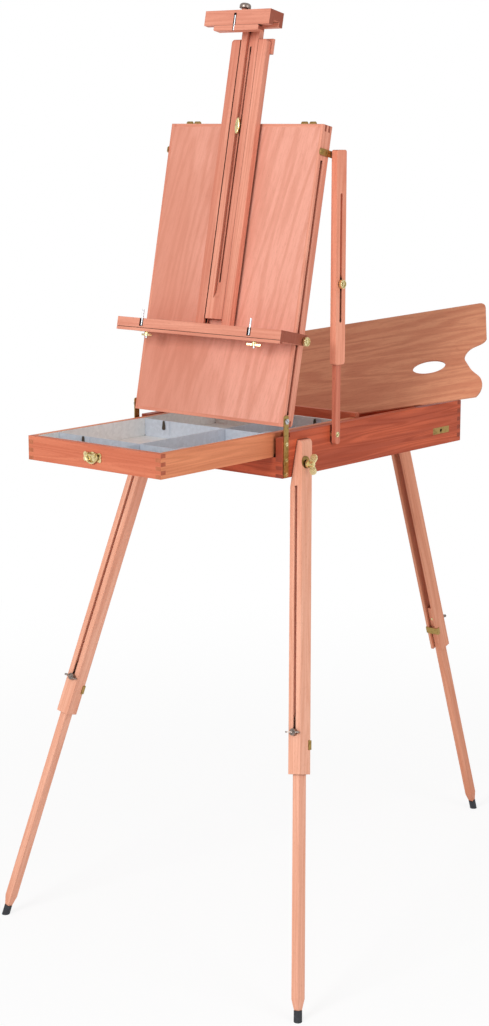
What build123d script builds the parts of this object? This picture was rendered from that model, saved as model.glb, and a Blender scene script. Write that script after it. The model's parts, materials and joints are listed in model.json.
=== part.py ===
from build123d import *
import os
from math import cos, radians, sin

# Sketch box easel. Millimetres, Z up, painter's right is +X, the painter stands at -Y.
# Working origin: middle of the box's front edge, at its underside.

# Clearances
GAP = 0.3
RUNNING = 0.06
SLIDE = 0.4

# Box
BOX_LENGTH = 570.0
BOX_WIDTH = 364.0
BOX_HEIGHT = 81.7
SIDE_THICK = 16.0
END_THICK = 12.0
FRONT_HEIGHT = 37.0
PLY_THICK = 4.0
FLOOR_UP = 6.0
GROOVE_DEPTH = 5.0
FINGER_PITCH = 8.2
NOTCH_LENGTH = 21.0
NOTCH_DEPTH = 8.0
RUNNER_LEDGE = 14.0
RUNNER_THICK = 8.0
GUIDE_HEIGHT = 15.0

# Hinge strips that carry the lid
STRIP_WIDTH = 12.5
STRIP_THICK = 2.0
STRIP_BOTTOM = 0.5
STRIP_ABOVE = 10.8
STRIP_ROUND = 3.8
PIVOT_RADIUS = 2.5
SCREW_HEAD_RADIUS = 3.6
SCREW_HEAD_THICK = 1.6
SCREW_SLOT_WIDTH = 0.9
SCREW_LENGTH = 12.0
SCREW_SHANK_RADIUS = 1.6
PIVOT_HEAD_RADIUS = 5.0
PIVOT_HEAD_THICK = 2.2
STRIP_SCREW_HEIGHTS = (7.0, 33.0, 62.0)

# Turn of each screw's slot, in degrees
STRIP_TURN = 22.0
ARM_SCREW_TURN = 31.0
BRACKET_TURN = 35.0
PIVOT_TURN = -27.0

# Strike plates for the folded legs
STRIKE_FROM_BACK = 96.0
STRIKE_LENGTH = 55.0
STRIKE_BOTTOM = 22.0
STRIKE_HEIGHT = 13.0
STRIKE_THICK = 1.2
STRIKE_HOLE_RADIUS = 3.2
STRIKE_HOLE_DEPTH = 8.0

# Drawer
DRAWER_OPEN = 299.6
DRAWER_LENGTH = 558.0
DRAWER_SIDE_ROOM = 6.0
DRAWER_BOTTOM = 37.4
DRAWER_TOP = 80.8
DRAWER_WALL = 12.0
DRAWER_BACK_RISE = 8.7
DRAWER_FINGER = 7.3
DRAWER_PLY_UP = 4.0
DRAWER_GROOVE = 4.0

# Zinc tray in the drawer
TRAY_SHORT = 75.0
TRAY_SHEET = 0.9
TRAY_RIM = 5.0
TRAY_UP = 0.3
TRAY_DIVIDER_X = 52.0
TRAY_DIVIDER_DROP = 1.2
TRAY_CROSS_Y = (-236.0, -8.0)
POST_WIDTH = 9.0
POST_LENGTH = 20.0
CLIP_X = (-84.0, -97.0, 104.0)
CLIP_LENGTH = 14.0
CLIP_HEIGHT = 26.0
LEVER_THICK = 2.4
LEVER_FOOT_RADIUS = 3.4
LEVER_TIP_RADIUS = 1.7
LEVER_RISE = 12.5

# Pull on the drawer front
PULL_DISCS = ((0.0, 0.0, 9.5), (12.5, 0.0, 7.5), (17.0, 4.0, 4.5), (17.0, -4.0, 4.5))
PULL_THICK = 1.6
DROP_RADIUS = 14.0
DROP_WIRE = 1.6
DROP_OUT = 5.0
DROP_UP = 4.0
KNUCKLE_RADIUS = 3.2
KNUCKLE_LENGTH = 5.0
KNUCKLE_FOOT = 3.8

# Lid, in its own frame: x across, y back from its front face, z up along it
LID_TILT = 11.8
LID_Y = 2.1
LID_Z = 94.1
LID_LENGTH = 544.0
LID_DEPTH = 26.0
LID_HEEL = 10.0
LID_BAR = 12.0
LID_FINGERS = 5
LID_REBATE = 6.0
LID_PLY = 4.0
LID_SLOT_FROM = 22.0
LID_SLOT_SHORT = 64.0
LID_SLOT_WIDTH = 6.0
LID_SLOT_DEPTH = 8.0
LID_PIVOT_BACK = 4.3
LID_PIVOT_UP = 10.2
CLASP_FROM_SIDE = 43.7
CLASP_LENGTH = 29.0
CLASP_WIDTH = 10.0
CLASP_THICK = 2.0
CLASP_LOOP_RADIUS = 5.0
CLASP_GAP = 9.6

# Arm brackets on the lid
BRACKET_BELOW_TOP = 48.8
BRACKET_BACK = 38.5
BRACKET_WIDTH = 12.0
BRACKET_FRONT = 2.0
BRACKET_THICK = 2.4
BRACKET_ROUND = 3.6
BRACKET_SCREWS = (5.2, 19.5)
BRACKET_SCREW_THICK = 0.8

# Lid stays
ARM_SPACE = 3.3
ARM_PIN_FORWARD = 5.9
ARM_PIVOT_Z = 64.0
LOWER_ARM_WIDTH = 14.0
LOWER_ARM_THICK = 8.7
LOWER_ARM_BOTTOM = 46.5
LOWER_ARM_TOP = 356.0
UPPER_ARM_WIDTH = 28.0
UPPER_ARM_THICK = 12.7
UPPER_ARM_BOTTOM = 194.0
ARM_ABOVE_PIN = 10.0
ARM_ROUND = 4.9
ARM_SKIN = 3.0
ARM_SLOT_BOTTOM = 271.0
ARM_SLOT_TOP = 504.0
ARM_SLOT_WIDTH = 6.4
ARM_KNOB_Z = 341.0
ARM_STUD_RADIUS = 2.8
ARM_PIN_RADIUS = 3.0
ARM_HEAD_RADIUS = 5.0
ARM_HEAD_THICK = 2.6
ARM_SPACER_RADIUS = 6.5
KNOB_RADIUS = 8.3
KNOB_LENGTH = 6.5
KNOB_EDGE = 1.2
KNOB_RIM = 2.2
KNOB_BOSS = 3.0
KNOB_RECESS = 1.6
FLUTES = 12
FLUTE_RADIUS = 1.4
FLUTE_PROUD = 0.6

# Mast, in the lid's frame
MAST_RAIL_WIDTH = 20.2
MAST_RAIL_THICK = 13.0
MAST_RAIL_ROUND = 6.0
MAST_EDGE = 0.8
MAST_PLAY = 2.0
MAST_BACK_OFF = 6.0
MAST_BAR_WIDTH = 41.0
MAST_RAIL_BOTTOM = 170.0
MAST_RAIL_TOP = 695.0
MAST_BAR_BOTTOM = 181.0
MAST_BAR_TOP = 711.0
MAST_GROOVE_WIDTH = 13.0
MAST_GROOVE_DEPTH = 6.5
MAST_GROOVE_FROM = 238.0
MAST_CUTTER_RADIUS = 30.0
MAST_SLOT_WIDTH = 5.0
MAST_SLOT_BOTTOM = 249.0
MAST_SLOT_TOP = 683.0
MAST_TONGUE = 4.0
MAST_TONGUE_THICK = 4.6
MAST_TONGUE_IN = 4.9
CROSS_BACK_OFF = 0.4
CROSS_TOP_UP = 670.0
CROSS_TOP_HEIGHT = 28.0
CROSS_TOP_REACH = 4.0
CROSS_LOW_UP = 243.0
CROSS_LOW_HEIGHT = 24.0
CROSS_LOW_REACH = -14.0
LID_SCREW_BELOW_TOP = 8.0
MAST_SCREW_RADIUS = 2.2
MAST_SCREW_HEAD = 4.8
MAST_WING_LENGTH = 30.0
MAST_WING_WIDTH = 10.0
MAST_WING_THICK = 4.6
MAST_WING_ROUND = 1.5

# Top clamp
CLAMP_HALF = 77.0
CLAMP_FRONT_OFF = 62.0
CLAMP_BACK_OFF = 24.0
CLAMP_HEIGHT = 27.0
CLAMP_REBATE_UP = 9.0
CLAMP_REBATE_BACK = 12.0
CLAMP_HEEL = 10.0
LIP_HALF = 53.0
LIP_HEIGHT = 9.6
LIP_THICK = 16.0
LIP_ROUND = 2.9
PIN_RADIUS = 1.9
PIN_X = -5.8
PIN_RISE = 17.9
CLAMP_SLOT_WIDTH = 6.0
CLAMP_SLOT_SHORT = 5.0
CLAMP_KNOB_RADIUS = 10.5
CLAMP_KNOB_HEIGHT = 9.0
CLAMP_KNOB_ROUND = 5.4
CLAMP_NECK_RADIUS = 7.5
CLAMP_NECK_TOP_RADIUS = 5.2
CLAMP_NECK_HEIGHT = 7.0
CLAMP_STUD_RADIUS = 3.0

# Canvas ledge, in the lid's frame
LEDGE_FRONT_OFF = 62.0
LEDGE_BACK_OFF = 19.3
LEDGE_BOTTOM = 144.0
LEDGE_TOP = 168.0
LEDGE_LIP = 4.0
LEDGE_STEP = 6.0
LEDGE_CHEEK_THICK = 16.0
LEDGE_CHEEK_BACK = 14.0
LEDGE_PIN_FROM_SIDE = 51.1
LEDGE_PIN_OFF = 50.0
LEDGE_HOOK_LEFT = 6.6
LEDGE_HOOK_OFF = 60.0
LEDGE_HOOK_FROM = 155.0
LEDGE_HOOK_TO = 184.5
LEDGE_PIN_TAIL = 12.0
LEDGE_PIN_NOTCH = 9.0
LEDGE_LINE_UP = 5.5
LEDGE_LINE_WIDTH = 1.0
LEDGE_LINE_DEPTH = 1.2
LEDGE_NUT_RADIUS = 4.5
LEDGE_NUT_LENGTH = 7.0
LEDGE_NUT_BAR = (27.0, 6.0, 3.5)
LEDGE_NUT_TURN = 17.0
LEDGE_KNOB_UP = 156.0
LEDGE_KNOB_RADIUS = 8.5
LEDGE_KNOB_LENGTH = 6.5
LEDGE_STUD_RADIUS = 2.6

# Legs: along each leg, measured down from the point where its axis crosses the box
LEG_FROM_SIDE = 7.0
LEG_Y = 45.0
LEG_Z = 20.0
LEG_OUT_ANGLE = 10.72
LEG_FORWARD_ANGLE = 13.65
LEG_WIDTH = 27.5
LEG_DEPTH = 28.0
LEG_WEB = 5.0
LEG_HEAD = 60.0
LEG_HEAD_TOP = 66.0
LEG_HEAD_ROUND = 10.0
LEG_CHANNEL_FROM = 16.0
LEG_SLOT_FROM = 39.0
LEG_SLOT_SPARE = 4.0
LEG_SLOT_WIDTH = 6.0
LEG_UPPER_END = 556.0
LEG_LOWER_FROM = 452.0
LEG_LOWER_WIDTH = 15.0
LEG_LOWER_DEPTH = 18.5
LEG_TAPER_FROM = 948.0
LEG_TAPER_TO = 968.0
LEG_TIP_WIDTH = 10.0
LEG_FOOT_RADIUS = 7.5
LEG_FOOT_END = 1000.0
LEG_CLAMP_AT = 481.0
LEG_CLAMP_RADIUS = 2.5
LEG_CLAMP_BITE = 8.0
LEG_CLAMP_SPAN = 30.0
LEG_CLAMP_LOBE = 4.5
LEG_CLAMP_HUB = 6.5
LEG_CLAMP_HUB_LENGTH = 6.0
LEG_CLAMP_WING = 2.4
STRAP_AT = 504.0
STRAP_HEIGHT = 17.0
STRAP_FLANGE = 6.0
STRAP_THICK = 1.5
GROUND_Z = -921.8
LEG_BOLT_RADIUS = 3.0
LEG_BOLT_HOLE = 7.0
LEG_BOLT_Z = 25.0
LEG_BOLT_FORWARD = 3.0
LEG_BOLT_REACH = 10.0
LEG_WASHER_RADIUS = 11.0
LEG_WASHER_THICK = 1.4
LEG_COLLAR_OFF = 4.25
LEG_COLLAR_RADIUS = 7.5
LEG_COLLAR_LENGTH = 4.0
LEG_WING_TURN = 6.0
WING_SPAN = 38.0
WING_LOBE_RADIUS = 7.0
WING_THICK = 3.4
WING_HUB_RADIUS = 5.0
WING_HUB_LENGTH = 9.0
WING_ROOT = 1.5

# Rear leg
REAR_LEG_WIDTH = 27.5
REAR_LEG_DEPTH = 31.0
REAR_LEG_ANGLE = 19.6
REAR_LEG_OFF = 39.0
REAR_UPPER_END = 548.0
REAR_LOWER_FROM = 446.0
REAR_HEAD_ROUND = 12.0
REAR_LEG_TOP = 14.0
REAR_LEG_LIFT = 32.0
REAR_PIVOT_Z = -19.0
REAR_CHEEK_THICK = 9.0
REAR_CHEEK_TOP = 60.0
REAR_CHEEK_BOTTOM = -34.0
REAR_CHEEK_REACH = 21.0
REAR_BACK_THICK = 9.0
REAR_STRAP_AT = 498.5
REAR_STRAP_HEIGHT = 15.0
REAR_SCREW_AT = 473.0
REAR_SCREW_RADIUS = 2.8
REAR_SCREW_THICK = 1.0

# Palette: its lower right corner and its own x, y axes
PALETTE_FROM_BACK = 77.2
PALETTE_FROM_SIDE = 114.4
PALETTE_Z = 111.1
PALETTE_X = (0.8803, 0.4405, 0.1761)
PALETTE_NORMAL = (0.1989, -0.6797, 0.7060)
PALETTE_LENGTH = 420.0
PALETTE_WIDTH = 237.5
PALETTE_THICK = 3.5
PALETTE_ROUND = 12.0
THUMB_X = -116.5
THUMB_Y = 91.5
THUMB_LONG = 33.0
THUMB_SHORT = 16.0
HOLLOW = ((0.0, 143.0), (-5.1, 135.5), (-30.4, 124.1), (-42.1, 111.4), (-44.9, 102.2),
          (-40.2, 86.7), (-29.0, 64.2), (-14.4, 44.7), (-11.6, 28.1), (-16.5, 10.2), (-27.0, -2.0))

# Derived
SIDE_OUT = BOX_WIDTH / 2
SIDE_IN = SIDE_OUT - SIDE_THICK
STRIKE_FROM = BOX_LENGTH - STRIKE_FROM_BACK
DRAWER_WIDTH = 2 * (SIDE_IN - DRAWER_SIDE_ROOM)
DRAWER_OUT = DRAWER_WIDTH / 2
DRAWER_IN = DRAWER_OUT - DRAWER_WALL
DRAWER_FRONT = -DRAWER_OPEN
DRAWER_END = DRAWER_FRONT + DRAWER_LENGTH
TRAY_LENGTH = DRAWER_LENGTH - TRAY_SHORT
LID_OUT = SIDE_OUT - GAP
CLASP_X = LID_OUT - CLASP_FROM_SIDE
LEDGE_PIN_X = LID_OUT - LEDGE_PIN_FROM_SIDE
LID_SLOT_TO = LID_LENGTH - LID_SLOT_SHORT
LID_SCREW_UP = LID_LENGTH - LID_SCREW_BELOW_TOP
LID_PLANE = Plane(
    origin=(0, LID_Y, LID_Z),
    x_dir=(1, 0, 0),
    z_dir=(0, sin(radians(LID_TILT)), cos(radians(LID_TILT))),
)
LID_PIVOT = LID_PLANE.from_local_coords(Vector(0, LID_PIVOT_BACK, LID_PIVOT_UP))
STRIP_FROM = LID_PIVOT.Y - STRIP_WIDTH / 2
STRIP_TOP = LID_PIVOT.Z + STRIP_ABOVE
BRACKET_UP = LID_LENGTH - BRACKET_BELOW_TOP
ARM_TOP = LID_PLANE.from_local_coords(Vector(0, BRACKET_BACK, BRACKET_UP))
ARM_INNER = SIDE_OUT + ARM_SPACE
ARM_OUT = ARM_INNER + UPPER_ARM_THICK
ARM_PIVOT_Y = ARM_TOP.Y + ARM_PIN_FORWARD
UPPER_ARM_TOP = ARM_TOP.Z + ARM_ABOVE_PIN
MAST_FRONT_OFF = MAST_BACK_OFF + MAST_RAIL_THICK
CLAMP_BOTTOM = MAST_BAR_TOP
CLAMP_TOP = CLAMP_BOTTOM + CLAMP_HEIGHT
LEDGE_HALF = LID_OUT + GAP + LEDGE_CHEEK_THICK
LEG_X = SIDE_OUT + LEG_FROM_SIDE
LEG_CHANNEL = LEG_LOWER_WIDTH + 2 * SLIDE
LEG_BOLT_INNER = SIDE_IN - LEG_BOLT_REACH
LEG_COLLAR_AT = LEG_X + LEG_WIDTH / 2 + LEG_COLLAR_OFF
REAR_LEG_Y = BOX_LENGTH + REAR_LEG_OFF
REAR_CHEEK_BACK = REAR_LEG_Y + REAR_CHEEK_REACH
PALETTE_CORNER = (SIDE_OUT + PALETTE_FROM_SIDE, BOX_LENGTH - PALETTE_FROM_BACK, PALETTE_Z)


def block(x, y, z):
    """A box between three pairs of limits."""
    low = [min(pair) for pair in (x, y, z)]
    size = [abs(pair[1] - pair[0]) for pair in (x, y, z)]
    return Pos(*low) * Box(*size, align=(Align.MIN, Align.MIN, Align.MIN))


def rod(start, direction, radius, length):
    """A cylinder from a point along a direction."""
    standing = Cylinder(radius, length, align=(Align.CENTER, Align.CENTER, Align.MIN))
    return Plane(origin=start, z_dir=direction).location * standing


def cone(start, direction, radius, end_radius, length):
    """A cone frustum from a point along a direction."""
    standing = Cone(radius, end_radius, length, align=(Align.CENTER, Align.CENTER, Align.MIN))
    return Plane(origin=start, z_dir=direction).location * standing


def mirrored(shape):
    """The same piece on the painter's other side."""
    return mirror(shape, about=Plane.YZ)


def on_lid(shape):
    """Moves a shape from the lid's frame to the easel's."""
    return LID_PLANE.location * shape


def fingers(low, high, pitch, first):
    """Every second finger between two heights, starting with number first."""
    spans = []
    count = max(1, round((high - low) / pitch))
    step = (high - low) / count
    for index in range(first, count, 2):
        spans.append((low + index * step, low + (index + 1) * step))
    return spans


def cut_all(shape, cutters):
    """Takes each cutter away in turn."""
    for cutter in cutters:
        shape = shape - cutter
    return shape


def turned(angle):
    """A level direction across +X, turned up by an angle in degrees."""
    return (0, cos(radians(angle)), sin(radians(angle)))


def slotted_head(start, radius, thick, turn):
    """A screw head facing +X with a driver's slot; start is its underside."""
    head = rod(start, (1, 0, 0), radius, thick)
    slot_plane = Plane(origin=(start[0] + thick, start[1], start[2]), x_dir=turned(turn), z_dir=(1, 0, 0))
    return head - slot_plane.location * Box(2 * radius, SCREW_SLOT_WIDTH, thick)


def wing(plane, span, lobe_radius, thick, hub_radius, hub_length):
    """A wing nut or wing screw head standing on a plane: two lobes in a V along the plane's x."""
    hub = Cylinder(hub_radius, hub_length, align=(Align.CENTER, Align.CENTER, Align.MIN))
    out = span / 2 - lobe_radius
    slant = Vector(out, 0, hub_length - WING_ROOT).normalized() * lobe_radius
    web = Polyline((0, WING_ROOT), (out + slant.Z, hub_length - slant.X),
                   (out - slant.Z, hub_length + slant.X), (0, hub_length), close=True)
    flat = make_face(web) + Pos(out, hub_length) * Circle(lobe_radius)
    blade = extrude(Plane.XZ * flat, amount=thick / 2, both=True)
    return plane.location * (hub + blade + mirrored(blade))


# Box

def box_side():
    """Right side panel with finger sockets, floor groove, hinge notch and bolt holes."""
    panel = block((SIDE_IN, SIDE_OUT), (0, BOX_LENGTH), (0, BOX_HEIGHT))
    notch = block((SIDE_IN, SIDE_OUT), (0, NOTCH_LENGTH), (BOX_HEIGHT - NOTCH_DEPTH, BOX_HEIGHT))
    cutters = [notch, floor_groove(SIDE_IN, SIDE_IN + GROOVE_DEPTH)]
    for low, high in fingers(0, FRONT_HEIGHT, FINGER_PITCH, 1):
        cutters.append(block((SIDE_IN, SIDE_OUT), (0, END_THICK), (low, high)))
    for low, high in fingers(0, BOX_HEIGHT, FINGER_PITCH, 1):
        cutters.append(block((SIDE_IN, SIDE_OUT), (BOX_LENGTH - END_THICK, BOX_LENGTH), (low, high)))
    bolt = FRONT_BOLT
    cutters.append(rod((SIDE_IN, bolt.Y, bolt.Z), (1, 0, 0), LEG_BOLT_RADIUS + RUNNING, SIDE_THICK))
    arm_hole = (SIDE_OUT - SCREW_LENGTH, ARM_PIVOT_Y, ARM_PIVOT_Z)
    cutters.append(rod(arm_hole, (1, 0, 0), ARM_PIN_RADIUS, SCREW_LENGTH))
    cutters += [strip_screw_shank(height) for height in STRIP_SCREW_HEIGHTS]
    cutters += [strike_plate_body(), strike_hole()]
    return cut_all(panel, cutters)


def floor_groove(x_low, x_high):
    """Room for the floor's edge in a side panel."""
    return block(
        (x_low, x_high),
        (END_THICK - GROOVE_DEPTH, BOX_LENGTH - END_THICK + GROOVE_DEPTH),
        (FLOOR_UP, FLOOR_UP + PLY_THICK),
    )


def end_panel(y_low, height, groove_y):
    """Front or back panel: its fingers fill the sockets of the sides."""
    panel = block((-SIDE_OUT, SIDE_OUT), (y_low, y_low + END_THICK), (0, height))
    cutters = [block((-SIDE_IN, SIDE_IN), groove_y, (FLOOR_UP, FLOOR_UP + PLY_THICK))]
    for low, high in fingers(0, height, FINGER_PITCH, 0):
        cutters.append(block((SIDE_IN, SIDE_OUT), (y_low, y_low + END_THICK), (low, high)))
        cutters.append(block((-SIDE_OUT, -SIDE_IN), (y_low, y_low + END_THICK), (low, high)))
    for height in STRIP_SCREW_HEIGHTS:
        cutters += [strip_screw_shank(height), mirrored(strip_screw_shank(height))]
    return cut_all(panel, cutters)


def box_floor():
    reach = SIDE_IN + GROOVE_DEPTH
    length = (END_THICK - GROOVE_DEPTH, BOX_LENGTH - END_THICK + GROOVE_DEPTH)
    sheet = block((-reach, reach), length, (FLOOR_UP, FLOOR_UP + PLY_THICK))
    for side in (-1, 1):
        corner = (side * SIDE_IN, side * reach)
        sheet = sheet - block(corner, (length[0], END_THICK), (FLOOR_UP, FLOOR_UP + PLY_THICK))
        sheet = sheet - block(corner, (BOX_LENGTH - END_THICK, length[1]), (FLOOR_UP, FLOOR_UP + PLY_THICK))
    return sheet


def runner():
    """Ledge under the drawer with a guide up its side."""
    top = DRAWER_BOTTOM - GAP
    span = (END_THICK, BOX_LENGTH - END_THICK)
    ledge = block((SIDE_IN - RUNNER_LEDGE, SIDE_IN), span, (top - RUNNER_THICK, top))
    guide = block((DRAWER_OUT + GAP, SIDE_IN), span, (top, top + GUIDE_HEIGHT))
    return ledge + guide


def strip_screw_shank(height):
    return rod((SIDE_OUT - SCREW_LENGTH, LID_PIVOT.Y, height), (1, 0, 0), SCREW_SHANK_RADIUS, SCREW_LENGTH)


def hinge_strip():
    """Brass strip on the box side; the lid turns on its top hole."""
    strip = block(
        (SIDE_OUT, SIDE_OUT + STRIP_THICK),
        (STRIP_FROM, STRIP_FROM + STRIP_WIDTH),
        (STRIP_BOTTOM, STRIP_TOP),
    )
    strip = fillet(strip.edges().filter_by(Axis.X), STRIP_ROUND)
    strip = strip - rod((SIDE_OUT, LID_PIVOT.Y, LID_PIVOT.Z), (1, 0, 0),
                        PIVOT_RADIUS + RUNNING, STRIP_THICK)
    for height in STRIP_SCREW_HEIGHTS:
        strip = strip - rod((SIDE_OUT, LID_PIVOT.Y, height), (1, 0, 0), SCREW_SHANK_RADIUS, STRIP_THICK)
    return strip


def strip_screws():
    screws = []
    for height in STRIP_SCREW_HEIGHTS:
        shank = rod((SIDE_OUT - SCREW_LENGTH, LID_PIVOT.Y, height), (1, 0, 0),
                    SCREW_SHANK_RADIUS, SCREW_LENGTH + STRIP_THICK)
        head = slotted_head((SIDE_OUT + STRIP_THICK, LID_PIVOT.Y, height),
                            SCREW_HEAD_RADIUS, SCREW_HEAD_THICK, STRIP_TURN)
        screws += [shank + head, mirrored(shank + head)]
    return screws


def strike_plate_body():
    return block(
        (SIDE_OUT - STRIKE_THICK, SIDE_OUT),
        (STRIKE_FROM, STRIKE_FROM + STRIKE_LENGTH),
        (STRIKE_BOTTOM, STRIKE_BOTTOM + STRIKE_HEIGHT),
    )


def strike_hole():
    centre = (SIDE_OUT - STRIKE_HOLE_DEPTH, STRIKE_FROM + STRIKE_LENGTH / 2,
              STRIKE_BOTTOM + STRIKE_HEIGHT / 2)
    return rod(centre, (1, 0, 0), STRIKE_HOLE_RADIUS, STRIKE_HOLE_DEPTH)


def arm_pivot_screw():
    """Screw in the box side with a spacer and a head let flush into the lower arm."""
    face = ARM_INNER + LOWER_ARM_THICK
    shank = rod((SIDE_OUT - SCREW_LENGTH, ARM_PIVOT_Y, ARM_PIVOT_Z), (1, 0, 0),
                ARM_PIN_RADIUS, SCREW_LENGTH + face - SIDE_OUT - ARM_HEAD_THICK)
    spacer = rod((SIDE_OUT, ARM_PIVOT_Y, ARM_PIVOT_Z), (1, 0, 0),
                 ARM_SPACER_RADIUS, ARM_INNER - SIDE_OUT - GAP)
    head = slotted_head((face - ARM_HEAD_THICK, ARM_PIVOT_Y, ARM_PIVOT_Z),
                        ARM_HEAD_RADIUS, ARM_HEAD_THICK, ARM_SCREW_TURN)
    return shank + spacer + head


def rear_cheek():
    """Wooden cheek behind the box that holds one end of the rear leg's bolt."""
    inner = REAR_LEG_WIDTH / 2 + GAP
    outline = Polyline(
        (BOX_LENGTH, REAR_CHEEK_TOP),
        (BOX_LENGTH + REAR_BACK_THICK, REAR_CHEEK_TOP),
        (REAR_CHEEK_BACK, 0),
        (REAR_CHEEK_BACK, REAR_CHEEK_BOTTOM),
        (BOX_LENGTH + REAR_BACK_THICK, REAR_CHEEK_BOTTOM),
        (BOX_LENGTH, 0),
        close=True,
    )
    plate = extrude(Plane.YZ.offset(inner) * make_face(outline), amount=REAR_CHEEK_THICK)
    hole = rod((0, REAR_PIVOT.Y, REAR_PIVOT.Z), (1, 0, 0), LEG_BOLT_RADIUS, inner + REAR_CHEEK_THICK)
    return plate - hole


def rear_bolt():
    reach = REAR_LEG_WIDTH / 2 + GAP + REAR_CHEEK_THICK
    bolt = rod((-reach, REAR_PIVOT.Y, REAR_PIVOT.Z), (1, 0, 0), LEG_BOLT_RADIUS, 2 * reach)
    head = rod((-reach, REAR_PIVOT.Y, REAR_PIVOT.Z), (-1, 0, 0), ARM_HEAD_RADIUS, ARM_HEAD_THICK)
    nut_plane = Plane(origin=(reach, REAR_PIVOT.Y, REAR_PIVOT.Z), x_dir=(0, 1, 0), z_dir=(1, 0, 0))
    nut = wing(nut_plane, WING_SPAN, WING_LOBE_RADIUS, WING_THICK, WING_HUB_RADIUS, WING_HUB_LENGTH)
    return bolt + head + nut


# Drawer

def drawer_side():
    panel = block((DRAWER_IN, DRAWER_OUT), (DRAWER_FRONT, DRAWER_END), (DRAWER_BOTTOM, DRAWER_TOP))
    cutters = [drawer_groove((DRAWER_IN, DRAWER_IN + DRAWER_GROOVE))]
    for low, high in fingers(DRAWER_BOTTOM, DRAWER_TOP, DRAWER_FINGER, 1):
        for near, far in drawer_ends():
            cutters.append(block((DRAWER_IN, DRAWER_OUT), (near, far), (low, high)))
    return cut_all(panel, cutters)


def drawer_ends():
    return ((DRAWER_FRONT, DRAWER_FRONT + DRAWER_WALL), (DRAWER_END - DRAWER_WALL, DRAWER_END))


def drawer_groove(x_span):
    low = DRAWER_BOTTOM + DRAWER_PLY_UP
    reach = DRAWER_WALL - DRAWER_GROOVE
    return block(x_span, (DRAWER_FRONT + reach, DRAWER_END - reach), (low, low + PLY_THICK))


def drawer_end(y_span, top):
    panel = block((-DRAWER_OUT, DRAWER_OUT), y_span, (DRAWER_BOTTOM, top))
    cutters = []
    for low, high in fingers(DRAWER_BOTTOM, DRAWER_TOP, DRAWER_FINGER, 0):
        cutters.append(block((DRAWER_IN, DRAWER_OUT), y_span, (low, high)))
        cutters.append(block((-DRAWER_OUT, -DRAWER_IN), y_span, (low, high)))
    cutters.append(drawer_groove((-DRAWER_IN, DRAWER_IN)))
    return cut_all(panel, cutters)


def drawer_front():
    return drawer_end(drawer_ends()[0], DRAWER_TOP)


def drawer_back():
    return drawer_end(drawer_ends()[1], DRAWER_TOP + DRAWER_BACK_RISE)


def drawer_bottom():
    reach = DRAWER_IN + DRAWER_GROOVE
    sheet = drawer_groove((-reach, reach))
    low = DRAWER_BOTTOM + DRAWER_PLY_UP
    for near, far in drawer_ends():
        for side in (-1, 1):
            sheet = sheet - block((side * DRAWER_IN, side * reach), (near, far), (low, low + PLY_THICK))
    return sheet


def tray_limits():
    front = DRAWER_FRONT + DRAWER_WALL + GAP
    return (-DRAWER_IN + GAP, DRAWER_IN - GAP), (front, front + TRAY_LENGTH)


def tray():
    """Open zinc tray with a folded rim on its back wall."""
    x_span, y_span = tray_limits()
    bottom = DRAWER_BOTTOM + DRAWER_PLY_UP + PLY_THICK + TRAY_UP
    shell = block(x_span, y_span, (bottom, DRAWER_TOP))
    inside = block(
        (x_span[0] + TRAY_SHEET, x_span[1] - TRAY_SHEET),
        (y_span[0] + TRAY_SHEET, y_span[1] - TRAY_SHEET),
        (bottom + TRAY_SHEET, DRAWER_TOP),
    )
    rim = block(x_span, (y_span[1], y_span[1] + TRAY_RIM), (DRAWER_TOP - TRAY_SHEET, DRAWER_TOP))
    return shell - inside + rim


def tray_floor():
    """Height of the tray's inner floor."""
    return DRAWER_BOTTOM + DRAWER_PLY_UP + PLY_THICK + TRAY_UP + TRAY_SHEET


def tray_dividers():
    """One long divider and two cross dividers with bent end posts."""
    x_span, y_span = tray_limits()
    height = (tray_floor(), DRAWER_TOP - TRAY_DIVIDER_DROP)
    pieces = [block(
        (TRAY_DIVIDER_X, TRAY_DIVIDER_X + TRAY_SHEET),
        (y_span[0] + TRAY_SHEET, y_span[1] - TRAY_SHEET),
        height,
    )]
    for cross in TRAY_CROSS_Y:
        left = block((x_span[0] + TRAY_SHEET, TRAY_DIVIDER_X), (cross, cross + TRAY_SHEET), height)
        right = block((TRAY_DIVIDER_X + TRAY_SHEET, x_span[1] - TRAY_SHEET),
                      (cross, cross + TRAY_SHEET), height)
        post = block((x_span[1] - TRAY_SHEET - POST_WIDTH, x_span[1] - TRAY_SHEET),
                     (cross + TRAY_SHEET, cross + POST_LENGTH), (height[0], DRAWER_TOP))
        pieces += [left, right + post]
    for x, y in clip_places():
        pieces.append(block((x - LEVER_TIP_RADIUS, x + CLIP_LENGTH), (y - TRAY_SHEET, y),
                            (height[1] - CLIP_HEIGHT, height[1])))
    return pieces


def clip_places():
    """Where the clips sit: one on each cross divider and one on the far wall."""
    far = tray_limits()[1][1] - TRAY_SHEET
    return zip(CLIP_X, (*TRAY_CROSS_Y, far))


def tray_levers():
    """Small drop-shaped levers that pinch the clip plates onto the dividers."""
    top = DRAWER_TOP - TRAY_DIVIDER_DROP - LEVER_TIP_RADIUS
    levers = []
    for x, y in clip_places():
        foot, tip = LEVER_FOOT_RADIUS, LEVER_TIP_RADIUS
        web = Polyline((-foot, 0), (foot, 0), (tip, LEVER_RISE), (-tip, LEVER_RISE), close=True)
        drop = make_face(web) + Circle(foot) + Pos(0, LEVER_RISE) * Circle(tip)
        plane = Plane(origin=(x, y - TRAY_SHEET, top - LEVER_RISE), x_dir=(1, 0, 0), z_dir=(0, -1, 0))
        levers.append(plane.location * extrude(drop, amount=LEVER_THICK))
    return levers


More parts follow.
